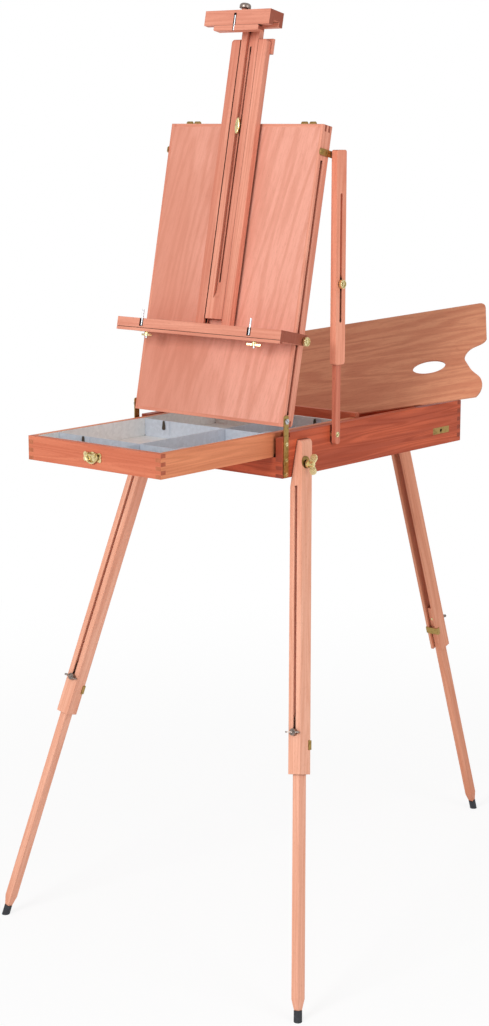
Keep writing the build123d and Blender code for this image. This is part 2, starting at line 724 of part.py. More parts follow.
def pull_plate():
    """Scalloped brass plate on the drawer front with two knuckles for the drop."""
    outline = Sketch()
    for x, up, radius in PULL_DISCS:
        outline = outline + Pos(x, up) * Circle(radius) + Pos(-x, up) * Circle(radius)
    middle = (DRAWER_BOTTOM + DRAWER_TOP) / 2
    face = Plane(origin=(0, DRAWER_FRONT, middle), x_dir=(1, 0, 0), z_dir=(0, -1, 0))
    plate = face.location * extrude(outline, amount=PULL_THICK)
    for side in (-1, 1):
        inner = DROP_RADIUS - DROP_WIRE - 2 * GAP - KNUCKLE_LENGTH
        start = (side * inner, DRAWER_FRONT - DROP_OUT, drop_height())
        knuckle = rod(start, (side, 0, 0), KNUCKLE_RADIUS, KNUCKLE_LENGTH)
        foot = block(
            (start[0], start[0] + side * KNUCKLE_LENGTH),
            (DRAWER_FRONT - DROP_OUT, DRAWER_FRONT - PULL_THICK),
            (drop_height() - KNUCKLE_FOOT / 2, drop_height() + KNUCKLE_FOOT / 2),
        )
        bore = rod((start[0] - side * KNUCKLE_LENGTH, start[1], start[2]), (side, 0, 0),
                   DROP_WIRE + RUNNING, 3 * KNUCKLE_LENGTH)
        plate = plate + (knuckle + foot - bore)
    return plate


def drop_height():
    return (DRAWER_BOTTOM + DRAWER_TOP) / 2 + DROP_UP


def pull_drop():
    """Half ring that hangs from the knuckles."""
    centre = Plane(origin=(0, DRAWER_FRONT - DROP_OUT, drop_height()), x_dir=(1, 0, 0), z_dir=(0, -1, 0))
    ring = centre.location * Torus(DROP_RADIUS, DROP_WIRE)
    above = block((-2 * DROP_RADIUS, 2 * DROP_RADIUS), (DRAWER_FRONT - 2 * DROP_OUT, DRAWER_FRONT),
                  (drop_height(), drop_height() + 2 * DROP_RADIUS))
    bail = ring - above
    reach = DROP_RADIUS + DROP_WIRE / 2
    start = (-reach, DRAWER_FRONT - DROP_OUT, drop_height())
    axle = rod(start, (1, 0, 0), DROP_WIRE, 2 * reach)
    return bail + axle


# Lid

def lid_corner_fingers(first):
    """Finger spans over the lid's depth at its corners."""
    return fingers(0, LID_DEPTH, LID_DEPTH / LID_FINGERS, first)


def lid_stile():
    """Right stile with the long slot for the ledge's stud."""
    bar = round_heel(block((LID_OUT - LID_BAR, LID_OUT), (0, LID_DEPTH), (0, LID_LENGTH)))
    cutters = []
    for low, high in lid_corner_fingers(1):
        cutters.append(block((LID_OUT - LID_BAR, LID_OUT), (low, high), (0, LID_BAR)))
        cutters.append(block((LID_OUT - LID_BAR, LID_OUT), (low, high), (LID_LENGTH - LID_BAR, LID_LENGTH)))
    cutters.append(lid_rebate())
    middle = LID_SLOT_DEPTH
    slot = block((LID_OUT - LID_BAR, LID_OUT), (middle - LID_SLOT_WIDTH / 2, middle + LID_SLOT_WIDTH / 2),
                 (LID_SLOT_FROM, LID_SLOT_TO))
    cutters += [slot, lid_pivot_shank()]
    return cut_all(bar, cutters)


def round_heel(bar):
    """Rounds the back of the lid's lower edge, which sweeps over the drawer as the lid tilts."""
    heel = bar.edges().filter_by(Axis.X).sort_by(Axis.Z)[:2].sort_by(Axis.Y)[-1]
    return fillet(heel, LID_HEEL)


def lid_rebate():
    """Room for the plywood panel, set flush in the front of the frame."""
    inner = LID_OUT - LID_REBATE
    return block((-inner, inner), (0, LID_PLY), (LID_REBATE, LID_LENGTH - LID_REBATE))


def lid_rails():
    """Bottom and top rails; their fingers fill the sockets of the stiles."""
    bottom = round_heel(block((-LID_OUT, LID_OUT), (0, LID_DEPTH), (0, LID_BAR)))
    top = block((-LID_OUT, LID_OUT), (0, LID_DEPTH), (LID_LENGTH - LID_BAR, LID_LENGTH))
    cutters = [lid_rebate(), lid_pivot_shank(), mirrored(lid_pivot_shank())]
    for near, far in lid_corner_fingers(0):
        for side in (-1, 1):
            across = (side * (LID_OUT - LID_BAR), side * LID_OUT)
            cutters.append(block(across, (near, far), (0, LID_LENGTH)))
    return [cut_all(bottom, cutters), cut_all(top, cutters)]


def lid_panel():
    return lid_rebate() - lid_pivot_shank() - mirrored(lid_pivot_shank())


def lid_clasp():
    """Brass clasp plate with a loop, on the lid's top edge."""
    middle = LID_DEPTH / 2
    plate = block(
        (CLASP_X - CLASP_LENGTH / 2, CLASP_X + CLASP_LENGTH / 2),
        (middle - CLASP_WIDTH / 2, middle + CLASP_WIDTH / 2),
        (LID_LENGTH, LID_LENGTH + CLASP_THICK),
    )
    loop = rod((CLASP_X - CLASP_LENGTH / 2, middle, LID_LENGTH + CLASP_THICK), (1, 0, 0),
               CLASP_LOOP_RADIUS, CLASP_LENGTH)
    above = block((0, 2 * CLASP_X), (0, LID_DEPTH), (LID_LENGTH, LID_LENGTH + 2 * LID_BAR))
    gap = block((CLASP_X - CLASP_GAP / 2, CLASP_X + CLASP_GAP / 2), (0, LID_DEPTH),
                (LID_LENGTH + CLASP_THICK, LID_LENGTH + 2 * LID_BAR))
    return plate + (loop & above) - gap


def lid_bracket():
    """Brass plate on the lid's side that reaches back to the stay's top pin."""
    plate = block(
        (LID_OUT, LID_OUT + BRACKET_THICK),
        (-BRACKET_FRONT, BRACKET_BACK + BRACKET_WIDTH / 2),
        (BRACKET_UP - BRACKET_WIDTH / 2, BRACKET_UP + BRACKET_WIDTH / 2),
    )
    plate = fillet(plate.edges().filter_by(Axis.X), BRACKET_ROUND)
    for back in BRACKET_SCREWS:
        plate = plate + slotted_head((LID_OUT + BRACKET_THICK, back, BRACKET_UP),
                                     SCREW_HEAD_RADIUS, BRACKET_SCREW_THICK, BRACKET_TURN)
    return plate


def lid_pivot_shank():
    start = (LID_OUT - LID_BAR, LID_PIVOT_BACK, LID_PIVOT_UP)
    return rod(start, (1, 0, 0), PIVOT_RADIUS, SIDE_OUT + STRIP_THICK + GAP - LID_OUT + LID_BAR)


def lid_pivot_screw():
    """Screw through the hinge strip into the lid."""
    outer = SIDE_OUT + STRIP_THICK + GAP
    shank = lid_pivot_shank()
    head = slotted_head((outer, LID_PIVOT_BACK, LID_PIVOT_UP),
                        PIVOT_HEAD_RADIUS, PIVOT_HEAD_THICK, PIVOT_TURN)
    return shank + head


# Lid stays

def lower_arm():
    half = LOWER_ARM_WIDTH / 2
    bar = block((ARM_INNER, ARM_INNER + LOWER_ARM_THICK), (ARM_PIVOT_Y - half, ARM_PIVOT_Y + half),
                (LOWER_ARM_BOTTOM, LOWER_ARM_TOP))
    bar = fillet(bar.edges().filter_by(Axis.X), ARM_ROUND)
    pin = rod((ARM_INNER, ARM_PIVOT_Y, ARM_PIVOT_Z), (1, 0, 0), ARM_PIN_RADIUS + RUNNING, LOWER_ARM_THICK)
    face = ARM_INNER + LOWER_ARM_THICK
    seat = rod((face - ARM_HEAD_THICK - GAP, ARM_PIVOT_Y, ARM_PIVOT_Z), (1, 0, 0),
               ARM_HEAD_RADIUS + GAP, ARM_HEAD_THICK + GAP)
    stud = rod((ARM_INNER, ARM_PIVOT_Y, ARM_KNOB_Z), (1, 0, 0), ARM_STUD_RADIUS + RUNNING, LOWER_ARM_THICK)
    return cut_all(bar, [pin, seat, stud])


def upper_arm():
    """Channel over the lower arm with the knob's slot through its outer web."""
    half = UPPER_ARM_WIDTH / 2
    bar = block((ARM_INNER, ARM_OUT), (ARM_PIVOT_Y - half, ARM_PIVOT_Y + half),
                (UPPER_ARM_BOTTOM, UPPER_ARM_TOP))
    bar = fillet(bar.edges().filter_by(Axis.X), ARM_ROUND)
    room = LOWER_ARM_WIDTH / 2 + SLIDE
    channel = block((ARM_INNER, ARM_INNER + LOWER_ARM_THICK + SLIDE),
                    (ARM_PIVOT_Y - room, ARM_PIVOT_Y + room),
                    (UPPER_ARM_BOTTOM, ARM_SLOT_TOP + LOWER_ARM_WIDTH + SLIDE))
    slot = block((ARM_INNER, ARM_OUT),
                 (ARM_PIVOT_Y - ARM_SLOT_WIDTH / 2, ARM_PIVOT_Y + ARM_SLOT_WIDTH / 2),
                 (ARM_SLOT_BOTTOM, ARM_SLOT_TOP))
    slot = fillet(slot.edges().filter_by(Axis.X), ARM_SLOT_WIDTH / 2 - RUNNING)
    pin = rod((ARM_INNER, ARM_TOP.Y, ARM_TOP.Z), (1, 0, 0), ARM_PIN_RADIUS, UPPER_ARM_THICK - ARM_SKIN)
    return cut_all(bar, [channel, slot, pin])


def arm_top_pin():
    """Blind pin in the upper arm; it ends short of the bracket."""
    inner = LID_OUT + BRACKET_THICK + GAP
    return rod((inner, ARM_TOP.Y, ARM_TOP.Z), (1, 0, 0), ARM_PIN_RADIUS, ARM_OUT - ARM_SKIN - inner)


def round_knob(start, radius, length, stud_radius, stud_length):
    """Fluted brass knob on a stud, its face sunk in a ring; start is its inner face, outward is +X."""
    body = rod(start, (1, 0, 0), radius, length)
    body = fillet(body.edges().filter_by(GeomType.CIRCLE), KNOB_EDGE)
    sunk = (start[0] + length - KNOB_RECESS, start[1], start[2])
    ring = rod(sunk, (1, 0, 0), radius - KNOB_RIM, KNOB_RECESS)
    ring = ring - rod(sunk, (1, 0, 0), KNOB_BOSS, KNOB_RECESS)
    body = body - ring
    back = (start[0] - stud_length, start[1], start[2])
    stud = rod(back, (1, 0, 0), stud_radius, stud_length)
    flute = rod((start[0] - length, 0, radius + FLUTE_PROUD), (1, 0, 0), FLUTE_RADIUS, 3 * length)
    for index in range(FLUTES):
        body = body - Pos(0, start[1], start[2]) * (Rot(X=360 / FLUTES * index) * flute)
    return body + stud


def arm_knob():
    start = (ARM_OUT + GAP, ARM_PIVOT_Y, ARM_KNOB_Z)
    return round_knob(start, KNOB_RADIUS, KNOB_LENGTH, ARM_STUD_RADIUS, ARM_OUT + GAP - ARM_INNER)


# Mast

def mast_rail(gap):
    """Rail on the right, grooved along its inner edge for the bar's tongue."""
    inner = MAST_BAR_WIDTH / 2 + gap
    rail = block((inner, inner + MAST_RAIL_WIDTH), (-MAST_FRONT_OFF, -MAST_BACK_OFF),
                 (MAST_RAIL_BOTTOM, MAST_RAIL_TOP))
    corner = rail.edges().filter_by(Axis.Y).sort_by(Axis.Z)[-2:].sort_by(Axis.X)[-1]
    rail = fillet(corner, MAST_RAIL_ROUND)
    rail = chamfer(rail.edges().filter_by(Axis.Z).sort_by(Axis.Y)[:2], MAST_EDGE)
    room = MAST_TONGUE_THICK / 2 + GAP
    middle = tongue_middle()
    groove = block((inner, inner + MAST_TONGUE), (middle - room, middle + room),
                   (MAST_RAIL_BOTTOM, MAST_RAIL_TOP))
    return rail - groove


def tongue_middle():
    return -MAST_BACK_OFF - MAST_TONGUE_IN


def mast_bar():
    """Centre bar: a front groove with a run-out, a slot in its floor and a tongue along each edge."""
    half = MAST_BAR_WIDTH / 2
    bar = block((-half, half), (-MAST_FRONT_OFF, -MAST_BACK_OFF), (MAST_BAR_BOTTOM, MAST_BAR_TOP))
    bar = chamfer(bar.edges().filter_by(Axis.Z).sort_by(Axis.Y)[:2], MAST_EDGE)
    middle = tongue_middle()
    reach = half + MAST_TONGUE
    tongue = block((-reach, reach), (middle - MAST_TONGUE_THICK / 2, middle + MAST_TONGUE_THICK / 2),
                   (MAST_BAR_BOTTOM, MAST_RAIL_TOP))
    floor_y = -MAST_FRONT_OFF + MAST_GROOVE_DEPTH
    groove = block((-MAST_GROOVE_WIDTH / 2, MAST_GROOVE_WIDTH / 2), (-MAST_FRONT_OFF, floor_y),
                   (MAST_GROOVE_FROM, MAST_BAR_TOP))
    run_out = rod((-MAST_GROOVE_WIDTH / 2, floor_y - MAST_CUTTER_RADIUS, MAST_GROOVE_FROM), (1, 0, 0),
                  MAST_CUTTER_RADIUS, MAST_GROOVE_WIDTH)
    slot = block((-MAST_SLOT_WIDTH / 2, MAST_SLOT_WIDTH / 2), (-MAST_FRONT_OFF, -MAST_BACK_OFF),
                 (MAST_SLOT_BOTTOM, MAST_SLOT_TOP))
    return cut_all(bar + tongue, [groove, run_out, slot])


def cross_piece(low, height, reach):
    """Thin board behind the rails, clear of the bar."""
    left = -MAST_BAR_WIDTH / 2 - MAST_PLAY
    right = MAST_BAR_WIDTH / 2 + GAP
    out = MAST_RAIL_WIDTH + reach
    board = block((left - out, right + out), (-MAST_BACK_OFF, -CROSS_BACK_OFF), (low, low + height))
    relief = block((left, right), (-MAST_BACK_OFF, -MAST_BACK_OFF + GAP), (low, low + height))
    return board - relief


def mast_screw():
    """Brass screw in the bar's slot: a collar on the groove's floor and a flat wing before the bar."""
    floor_y = -MAST_FRONT_OFF + MAST_GROOVE_DEPTH - GAP
    shank = rod((0, 0, LID_SCREW_UP), (0, -1, 0), MAST_SCREW_RADIUS, -floor_y)
    collar = rod((0, floor_y, LID_SCREW_UP), (0, -1, 0), MAST_SCREW_HEAD, MAST_FRONT_OFF + GAP + floor_y)
    face = Plane(origin=(0, -MAST_FRONT_OFF - GAP, LID_SCREW_UP), x_dir=(1, 0, 0), z_dir=(0, -1, 0))
    blade = extrude(Ellipse(MAST_WING_WIDTH / 2, MAST_WING_LENGTH / 2), amount=MAST_WING_THICK)
    blade = fillet(blade.edges().sort_by(Axis.Z)[-1], MAST_WING_ROUND)
    return shank + collar + face.location * blade


def clamp_block():
    """Top block on the bar, rebated along its lower front edge, slotted for the pin."""
    middle = (CLAMP_FRONT_OFF + CLAMP_BACK_OFF) / 2
    body = block((-CLAMP_HALF, CLAMP_HALF), (-CLAMP_FRONT_OFF, -CLAMP_BACK_OFF), (CLAMP_BOTTOM, CLAMP_TOP))
    rebate = block((-CLAMP_HALF, CLAMP_HALF),
                   (-CLAMP_FRONT_OFF + CLAMP_REBATE_BACK, -CLAMP_BACK_OFF - CLAMP_HEEL),
                   (CLAMP_BOTTOM, CLAMP_BOTTOM + CLAMP_REBATE_UP))
    slot = block((PIN_X - PIN_RADIUS - GAP, PIN_X - PIN_RADIUS - GAP + CLAMP_SLOT_WIDTH),
                 (-CLAMP_FRONT_OFF, -CLAMP_FRONT_OFF + 2 * PIN_RADIUS + 2 * GAP),
                 (CLAMP_BOTTOM, CLAMP_TOP - CLAMP_SLOT_SHORT))
    stud = rod((0, -middle, CLAMP_BOTTOM), (0, 0, 1), CLAMP_STUD_RADIUS + RUNNING, CLAMP_TOP - CLAMP_BOTTOM)
    arm = block((-MAST_BAR_WIDTH / 2, MAST_BAR_WIDTH / 2), (-CLAMP_BACK_OFF, -MAST_BACK_OFF),
                (CLAMP_BOTTOM, CLAMP_TOP))
    return cut_all(body + arm, [rebate, slot, stud])


def clamp_lip():
    """Lower lip bar under the block, grooved in front for its steel pin."""
    back = -CLAMP_FRONT_OFF + LIP_THICK
    height = (CLAMP_BOTTOM - LIP_HEIGHT - GAP, CLAMP_BOTTOM - GAP)
    lip = block((-LIP_HALF, LIP_HALF), (-CLAMP_FRONT_OFF, back), height)
    lip = fillet(lip.edges().filter_by(Axis.Y), LIP_ROUND)
    groove = block((PIN_X - PIN_RADIUS, PIN_X + PIN_RADIUS),
                   (-CLAMP_FRONT_OFF, -CLAMP_FRONT_OFF + PIN_RADIUS + GAP), height)
    return cut_all(lip, [groove, clamp_pin()])


def clamp_pin():
    start = (PIN_X, -CLAMP_FRONT_OFF + PIN_RADIUS + GAP, CLAMP_BOTTOM - LIP_HEIGHT)
    return rod(start, (0, 0, 1), PIN_RADIUS, LIP_HEIGHT + PIN_RISE)


def clamp_neck():
    """Turned wooden neck between the block and its knob."""
    middle = -(CLAMP_FRONT_OFF + CLAMP_BACK_OFF) / 2
    neck = cone((0, middle, CLAMP_TOP), (0, 0, 1), CLAMP_NECK_RADIUS, CLAMP_NECK_TOP_RADIUS,
                CLAMP_NECK_HEIGHT)
    return neck - rod((0, middle, CLAMP_TOP), (0, 0, 1), CLAMP_STUD_RADIUS + RUNNING, CLAMP_NECK_HEIGHT)


def clamp_knob():
    """Grey domed knob with its stud down through the block."""
    middle = -(CLAMP_FRONT_OFF + CLAMP_BACK_OFF) / 2
    foot = CLAMP_TOP + GAP + CLAMP_NECK_HEIGHT
    dome = rod((0, middle, foot), (0, 0, 1), CLAMP_KNOB_RADIUS, CLAMP_KNOB_HEIGHT)
    dome = fillet(dome.edges().filter_by(GeomType.CIRCLE).sort_by(Axis.Z)[-1], CLAMP_KNOB_ROUND)
    stud = rod((0, middle, CLAMP_BOTTOM + CLAMP_REBATE_UP), (0, 0, 1), CLAMP_STUD_RADIUS,
               foot - CLAMP_BOTTOM - CLAMP_REBATE_UP)
    return dome + stud


# Canvas ledge

def ledge_board():
    """Ledge with a raised back strip, a scored line and a notch for each hook pin."""
    span = (-LEDGE_HALF, LEDGE_HALF)
    body = block(span, (-LEDGE_FRONT_OFF, -LEDGE_BACK_OFF), (LEDGE_BOTTOM, LEDGE_TOP))
    step = block(span, (-LEDGE_FRONT_OFF + LEDGE_STEP, -LEDGE_BACK_OFF),
                 (LEDGE_BOTTOM, LEDGE_BOTTOM + LEDGE_LIP))
    line = block(span, (-LEDGE_FRONT_OFF, -LEDGE_FRONT_OFF + LEDGE_LINE_DEPTH),
                 (LEDGE_BOTTOM + LEDGE_LINE_UP, LEDGE_BOTTOM + LEDGE_LINE_UP + LEDGE_LINE_WIDTH))
    cutters = [step, line] + ledge_pins()
    for x in (-LEDGE_PIN_X, LEDGE_PIN_X):
        hook = x - LEDGE_HOOK_LEFT
        cutters.append(block((hook - LEDGE_PIN_NOTCH / 2, hook + LEDGE_PIN_NOTCH / 2),
                             (-LEDGE_FRONT_OFF, -LEDGE_HOOK_OFF + PIN_RADIUS + GAP),
                             (LEDGE_HOOK_FROM - PIN_RADIUS, LEDGE_TOP)))
    return cut_all(body, cutters)


def ledge_cheek():
    """End block that reaches back beside the lid and carries the side knob."""
    cheek = block((LID_OUT + GAP, LEDGE_HALF), (-LEDGE_BACK_OFF, LEDGE_CHEEK_BACK),
                  (LEDGE_BOTTOM + LEDGE_LIP, LEDGE_TOP))
    return cheek - rod((0, LID_SLOT_DEPTH, LEDGE_KNOB_UP), (1, 0, 0),
                       LEDGE_STUD_RADIUS + RUNNING, LEDGE_HALF)


def ledge_pins():
    """Steel hooks: a threaded tail, a bend inside the ledge and an upright before it."""
    pins = []
    for x in (-LEDGE_PIN_X, LEDGE_PIN_X):
        foot = Vector(x, -LEDGE_PIN_OFF, LEDGE_BOTTOM - LEDGE_PIN_TAIL)
        inner = Vector(x, -LEDGE_PIN_OFF, LEDGE_HOOK_FROM)
        outer = Vector(x - LEDGE_HOOK_LEFT, -LEDGE_HOOK_OFF, LEDGE_HOOK_FROM)
        top = Vector(x - LEDGE_HOOK_LEFT, -LEDGE_HOOK_OFF, LEDGE_HOOK_TO)
        pin = Pos(inner) * Sphere(PIN_RADIUS) + Pos(outer) * Sphere(PIN_RADIUS)
        for start, end in ((foot, inner), (inner, outer), (outer, top)):
            pin = pin + rod(start, end - start, PIN_RADIUS, (end - start).length)
        pins.append(pin)
    return pins


def ledge_wing_nut():
    """Nut under the ledge on the right pin: a hub with a flat bar across its end."""
    turn = radians(LEDGE_NUT_TURN)
    plane = Plane(origin=(LEDGE_PIN_X, -LEDGE_PIN_OFF, LEDGE_BOTTOM - GAP), x_dir=(cos(turn), sin(turn), 0),
                  z_dir=(0, 0, -1))
    hub = Cylinder(LEDGE_NUT_RADIUS, LEDGE_NUT_LENGTH, align=(Align.CENTER, Align.CENTER, Align.MIN))
    bar = Pos(0, 0, LEDGE_NUT_LENGTH) * Box(*LEDGE_NUT_BAR, align=(Align.CENTER, Align.CENTER, Align.MAX))
    bore = Cylinder(PIN_RADIUS + RUNNING, 3 * LEDGE_NUT_LENGTH)
    return plane.location * (hub + bar - bore)


def ledge_knob():
    """Round brass knob beside the lid, its stud in the lid's side slot."""
    start = (LEDGE_HALF + GAP, LID_SLOT_DEPTH, LEDGE_KNOB_UP)
    return round_knob(start, LEDGE_KNOB_RADIUS, LEDGE_KNOB_LENGTH, LEDGE_STUD_RADIUS,
                      LEDGE_HALF + GAP - LID_OUT + LID_BAR)


# Legs

def leg_plane():
    """Right front leg: x outward, y back, z up along the leg."""
    out = sin(radians(LEG_OUT_ANGLE))
    forward = sin(radians(LEG_FORWARD_ANGLE))
    down = Vector(out, -forward, -(1 - out ** 2 - forward ** 2) ** 0.5)
    out_level = Vector(-down.Z, 0, down.X).normalized()
    return Plane(origin=(LEG_X, LEG_Y, LEG_Z), x_dir=out_level, z_dir=-down)


def rear_leg_plane():
    """Rear leg: its open channel faces forward."""
    down = Vector(0, sin(radians(REAR_LEG_ANGLE)), -cos(radians(REAR_LEG_ANGLE)))
    start = Vector(0, REAR_LEG_Y, REAR_PIVOT_Z) - down * REAR_LEG_LIFT
    return Plane(origin=start, x_dir=(-1, 0, 0), z_dir=-down)


FRONT_LEG = leg_plane()
REAR_LEG = rear_leg_plane()
FRONT_BOLT = Vector(LEG_X, LEG_Y - LEG_BOLT_FORWARD, LEG_BOLT_Z)
REAR_PIVOT = Vector(0, REAR_LEG_Y, REAR_PIVOT_Z)


def upper_leg(width, depth, head, end, channel_from):
    """Channel leg in its own frame: web and slot at -y, open side at +y."""
    body = block((-width / 2, width / 2), (-depth / 2, depth / 2), (-end, head))
    channel = block((-LEG_CHANNEL / 2, LEG_CHANNEL / 2), (-depth / 2 + LEG_WEB, depth / 2),
                    (-end, -channel_from))
    slot = block((-LEG_SLOT_WIDTH / 2, LEG_SLOT_WIDTH / 2), (-depth / 2, -depth / 2 + LEG_WEB),
                 (-LEG_CLAMP_AT - LEG_SLOT_SPARE, -channel_from - LEG_SLOT_FROM + LEG_CHANNEL_FROM))
    return cut_all(body, [channel, slot])


def lower_leg(depth, start):
    """Sliding leg with a tapered end and a threaded hole for its clamp, in the leg's frame."""
    front = -depth / 2 + LEG_WEB + SLIDE
    half = LEG_LOWER_WIDTH / 2
    body = block((-half, half), (front, front + LEG_LOWER_DEPTH), (-LEG_TAPER_FROM, -start))
    middle = front + LEG_LOWER_DEPTH / 2
    wide = Plane(origin=(0, middle, -LEG_TAPER_FROM), x_dir=(1, 0, 0), z_dir=(0, 0, 1))
    narrow = Plane(origin=(0, middle, -LEG_TAPER_TO), x_dir=(1, 0, 0), z_dir=(0, 0, 1))
    taper = loft([narrow * Rectangle(LEG_TIP_WIDTH, LEG_TIP_WIDTH),
                  wide * Rectangle(LEG_LOWER_WIDTH, LEG_LOWER_DEPTH)])
    hole = rod((0, front, -LEG_CLAMP_AT), (0, 1, 0), LEG_CLAMP_RADIUS + RUNNING, LEG_CLAMP_BITE)
    return body + taper - hole


def leg_foot(depth, plane):
    """Rubber foot, cut off level with the ground."""
    middle = -depth / 2 + LEG_WEB + SLIDE + LEG_LOWER_DEPTH / 2
    foot = rod((0, middle, -LEG_FOOT_END), (0, 0, 1), LEG_FOOT_RADIUS, LEG_FOOT_END - LEG_TAPER_TO)
    span = BOX_LENGTH
    under = block((-span, 2 * span), (-span, 2 * span), (GROUND_Z - span, GROUND_Z))
    return plane.location * foot - under


def leg_clamp_screw(depth):
    """Wing screw that rides in the web's slot, threaded into the lower leg."""
    face = -depth / 2 - GAP
    plane = Plane(origin=(0, face, -LEG_CLAMP_AT), x_dir=(1, 0, 0), z_dir=(0, -1, 0))
    head = wing(plane, LEG_CLAMP_SPAN, LEG_CLAMP_LOBE, LEG_CLAMP_WING, LEG_CLAMP_HUB, LEG_CLAMP_HUB_LENGTH)
    shank = rod((0, face, -LEG_CLAMP_AT), (0, 1, 0), LEG_CLAMP_RADIUS, LEG_WEB + SLIDE + LEG_CLAMP_BITE)
    return head + shank


def leg_strap(width, depth, at, height):
    """Brass strap across the open channel, folded over both walls; it keeps the lower leg in."""
    half = width / 2
    face = depth / 2
    span = (-at - height / 2, -at + height / 2)
    plate = block((-half - STRAP_THICK, half + STRAP_THICK),
                  (face - STRAP_FLANGE, face + STRAP_THICK), span)
    return plate - block((-half, half), (0, face), span)


def front_upper_leg():
    """Right front upper leg: its head is cut to lie against the box side and rounded outward."""
    leg = FRONT_LEG.location * upper_leg(LEG_WIDTH, LEG_DEPTH, LEG_HEAD, LEG_UPPER_END, LEG_CHANNEL_FROM)
    inside = block((0, SIDE_OUT + GAP), (-BOX_LENGTH, BOX_LENGTH), (-LEG_HEAD, LEG_HEAD * 2))
    above = block((0, BOX_LENGTH), (-BOX_LENGTH, BOX_LENGTH), (LEG_HEAD_TOP, 3 * LEG_HEAD_TOP))
    hole = rod((SIDE_OUT - SIDE_THICK, FRONT_BOLT.Y, FRONT_BOLT.Z), (1, 0, 0),
               LEG_BOLT_HOLE, 4 * SIDE_THICK)
    leg = cut_all(leg, [inside, above, hole])
    rise = (LEG_HEAD_TOP - LEG_Z - FRONT_LEG.x_dir.Z * LEG_WIDTH / 2) / FRONT_LEG.z_dir.Z
    corner = FRONT_LEG.from_local_coords(Vector(LEG_WIDTH / 2, 0, rise))
    return fillet(leg.edges().sort_by_distance(corner)[0], LEG_HEAD_ROUND)


def front_washer():
    """Brass washer on the leg's sloping outer face round the bolt."""
    local = FRONT_LEG.to_local_coords(FRONT_BOLT)
    start = (LEG_WIDTH / 2, local.Y, local.Z)
    ring = rod(start, (1, 0, 0), LEG_WASHER_RADIUS, LEG_WASHER_THICK)
    placed = FRONT_LEG.location * ring
    return placed - rod((SIDE_OUT, FRONT_BOLT.Y, FRONT_BOLT.Z), (1, 0, 0), LEG_BOLT_HOLE, 3 * SIDE_THICK)


def front_bolt():
    """Wing bolt through the leg's head into the box side."""
    length = LEG_COLLAR_AT - LEG_BOLT_INNER
    shaft = rod((LEG_BOLT_INNER, FRONT_BOLT.Y, FRONT_BOLT.Z), (1, 0, 0), LEG_BOLT_RADIUS, length)
    collar = rod((LEG_COLLAR_AT, FRONT_BOLT.Y, FRONT_BOLT.Z), (1, 0, 0),
                 LEG_COLLAR_RADIUS, LEG_COLLAR_LENGTH)
    plane = Plane(origin=(LEG_COLLAR_AT + LEG_COLLAR_LENGTH, FRONT_BOLT.Y, FRONT_BOLT.Z),
                  x_dir=turned(90 - LEG_WING_TURN), z_dir=(1, 0, 0))
    head = wing(plane, WING_SPAN, WING_LOBE_RADIUS, WING_THICK, WING_HUB_RADIUS, WING_HUB_LENGTH)
    return shaft + collar + head


def rear_upper_leg():
    leg = upper_leg(REAR_LEG_WIDTH, REAR_LEG_DEPTH, REAR_LEG_TOP - REAR_LEG_LIFT, REAR_UPPER_END,
                    LEG_CHANNEL_FROM + REAR_LEG_LIFT)
    leg = fillet(leg.edges().filter_by(Axis.X).sort_by(Axis.Z)[-2:], REAR_HEAD_ROUND)
    placed = REAR_LEG.location * leg
    return placed - rod((-REAR_LEG_WIDTH, REAR_PIVOT.Y, REAR_PIVOT.Z), (1, 0, 0),
                        LEG_BOLT_RADIUS + RUNNING, 2 * REAR_LEG_WIDTH)


def rear_screw():
    """Brass screw head on the open face of the rear lower leg, above its strap."""
    face = -REAR_LEG_DEPTH / 2 + LEG_WEB + SLIDE + LEG_LOWER_DEPTH
    return rod((0, face, -REAR_SCREW_AT), (0, 1, 0), REAR_SCREW_RADIUS, REAR_SCREW_THICK)


# Palette

def palette():
    """Thin plywood palette with a thumb hole and a hollow in its right edge."""
    plane = Plane(origin=PALETTE_CORNER, x_dir=PALETTE_X, z_dir=PALETTE_NORMAL)
    board = Pos(-PALETTE_LENGTH / 2, PALETTE_WIDTH / 2, -PALETTE_THICK / 2) * Box(
        PALETTE_LENGTH, PALETTE_WIDTH, PALETTE_THICK)
    corners = board.edges().filter_by(Axis.Z).sort_by(Axis.X)
    left = corners[:2]
    right_top = corners[2:].sort_by(Axis.Y)[-1]
    board = fillet(left + [right_top], PALETTE_ROUND)
    curve = Spline(*HOLLOW)
    out = PALETTE_ROUND
    rest = Polyline(HOLLOW[-1], (HOLLOW[-1][0], -out), (out, -out), (out, HOLLOW[0][1]), HOLLOW[0])
    hollow = extrude(make_face(curve + rest), amount=PALETTE_THICK, both=True)
    thumb = extrude(Ellipse(THUMB_LONG, THUMB_SHORT), amount=PALETTE_THICK, both=True)
    thumb = Pos(THUMB_X, THUMB_Y, 0) * thumb
    return plane.location * cut_all(board, [hollow, thumb])


def front_leg_set():
    """The right front leg's pieces by node name."""
    place = FRONT_LEG.location
    strap = place * leg_strap(LEG_WIDTH, LEG_DEPTH, STRAP_AT, STRAP_HEIGHT)
    return {
        "leg_upper": front_upper_leg(),
        "leg_lower": place * lower_leg(LEG_DEPTH, LEG_LOWER_FROM),
        "leg_foot": leg_foot(LEG_DEPTH, FRONT_LEG),
        "leg_clamp": place * leg_clamp_screw(LEG_DEPTH),
        "leg_fittings": [strap, front_washer()],
        "leg_bolt": front_bolt(),
    }


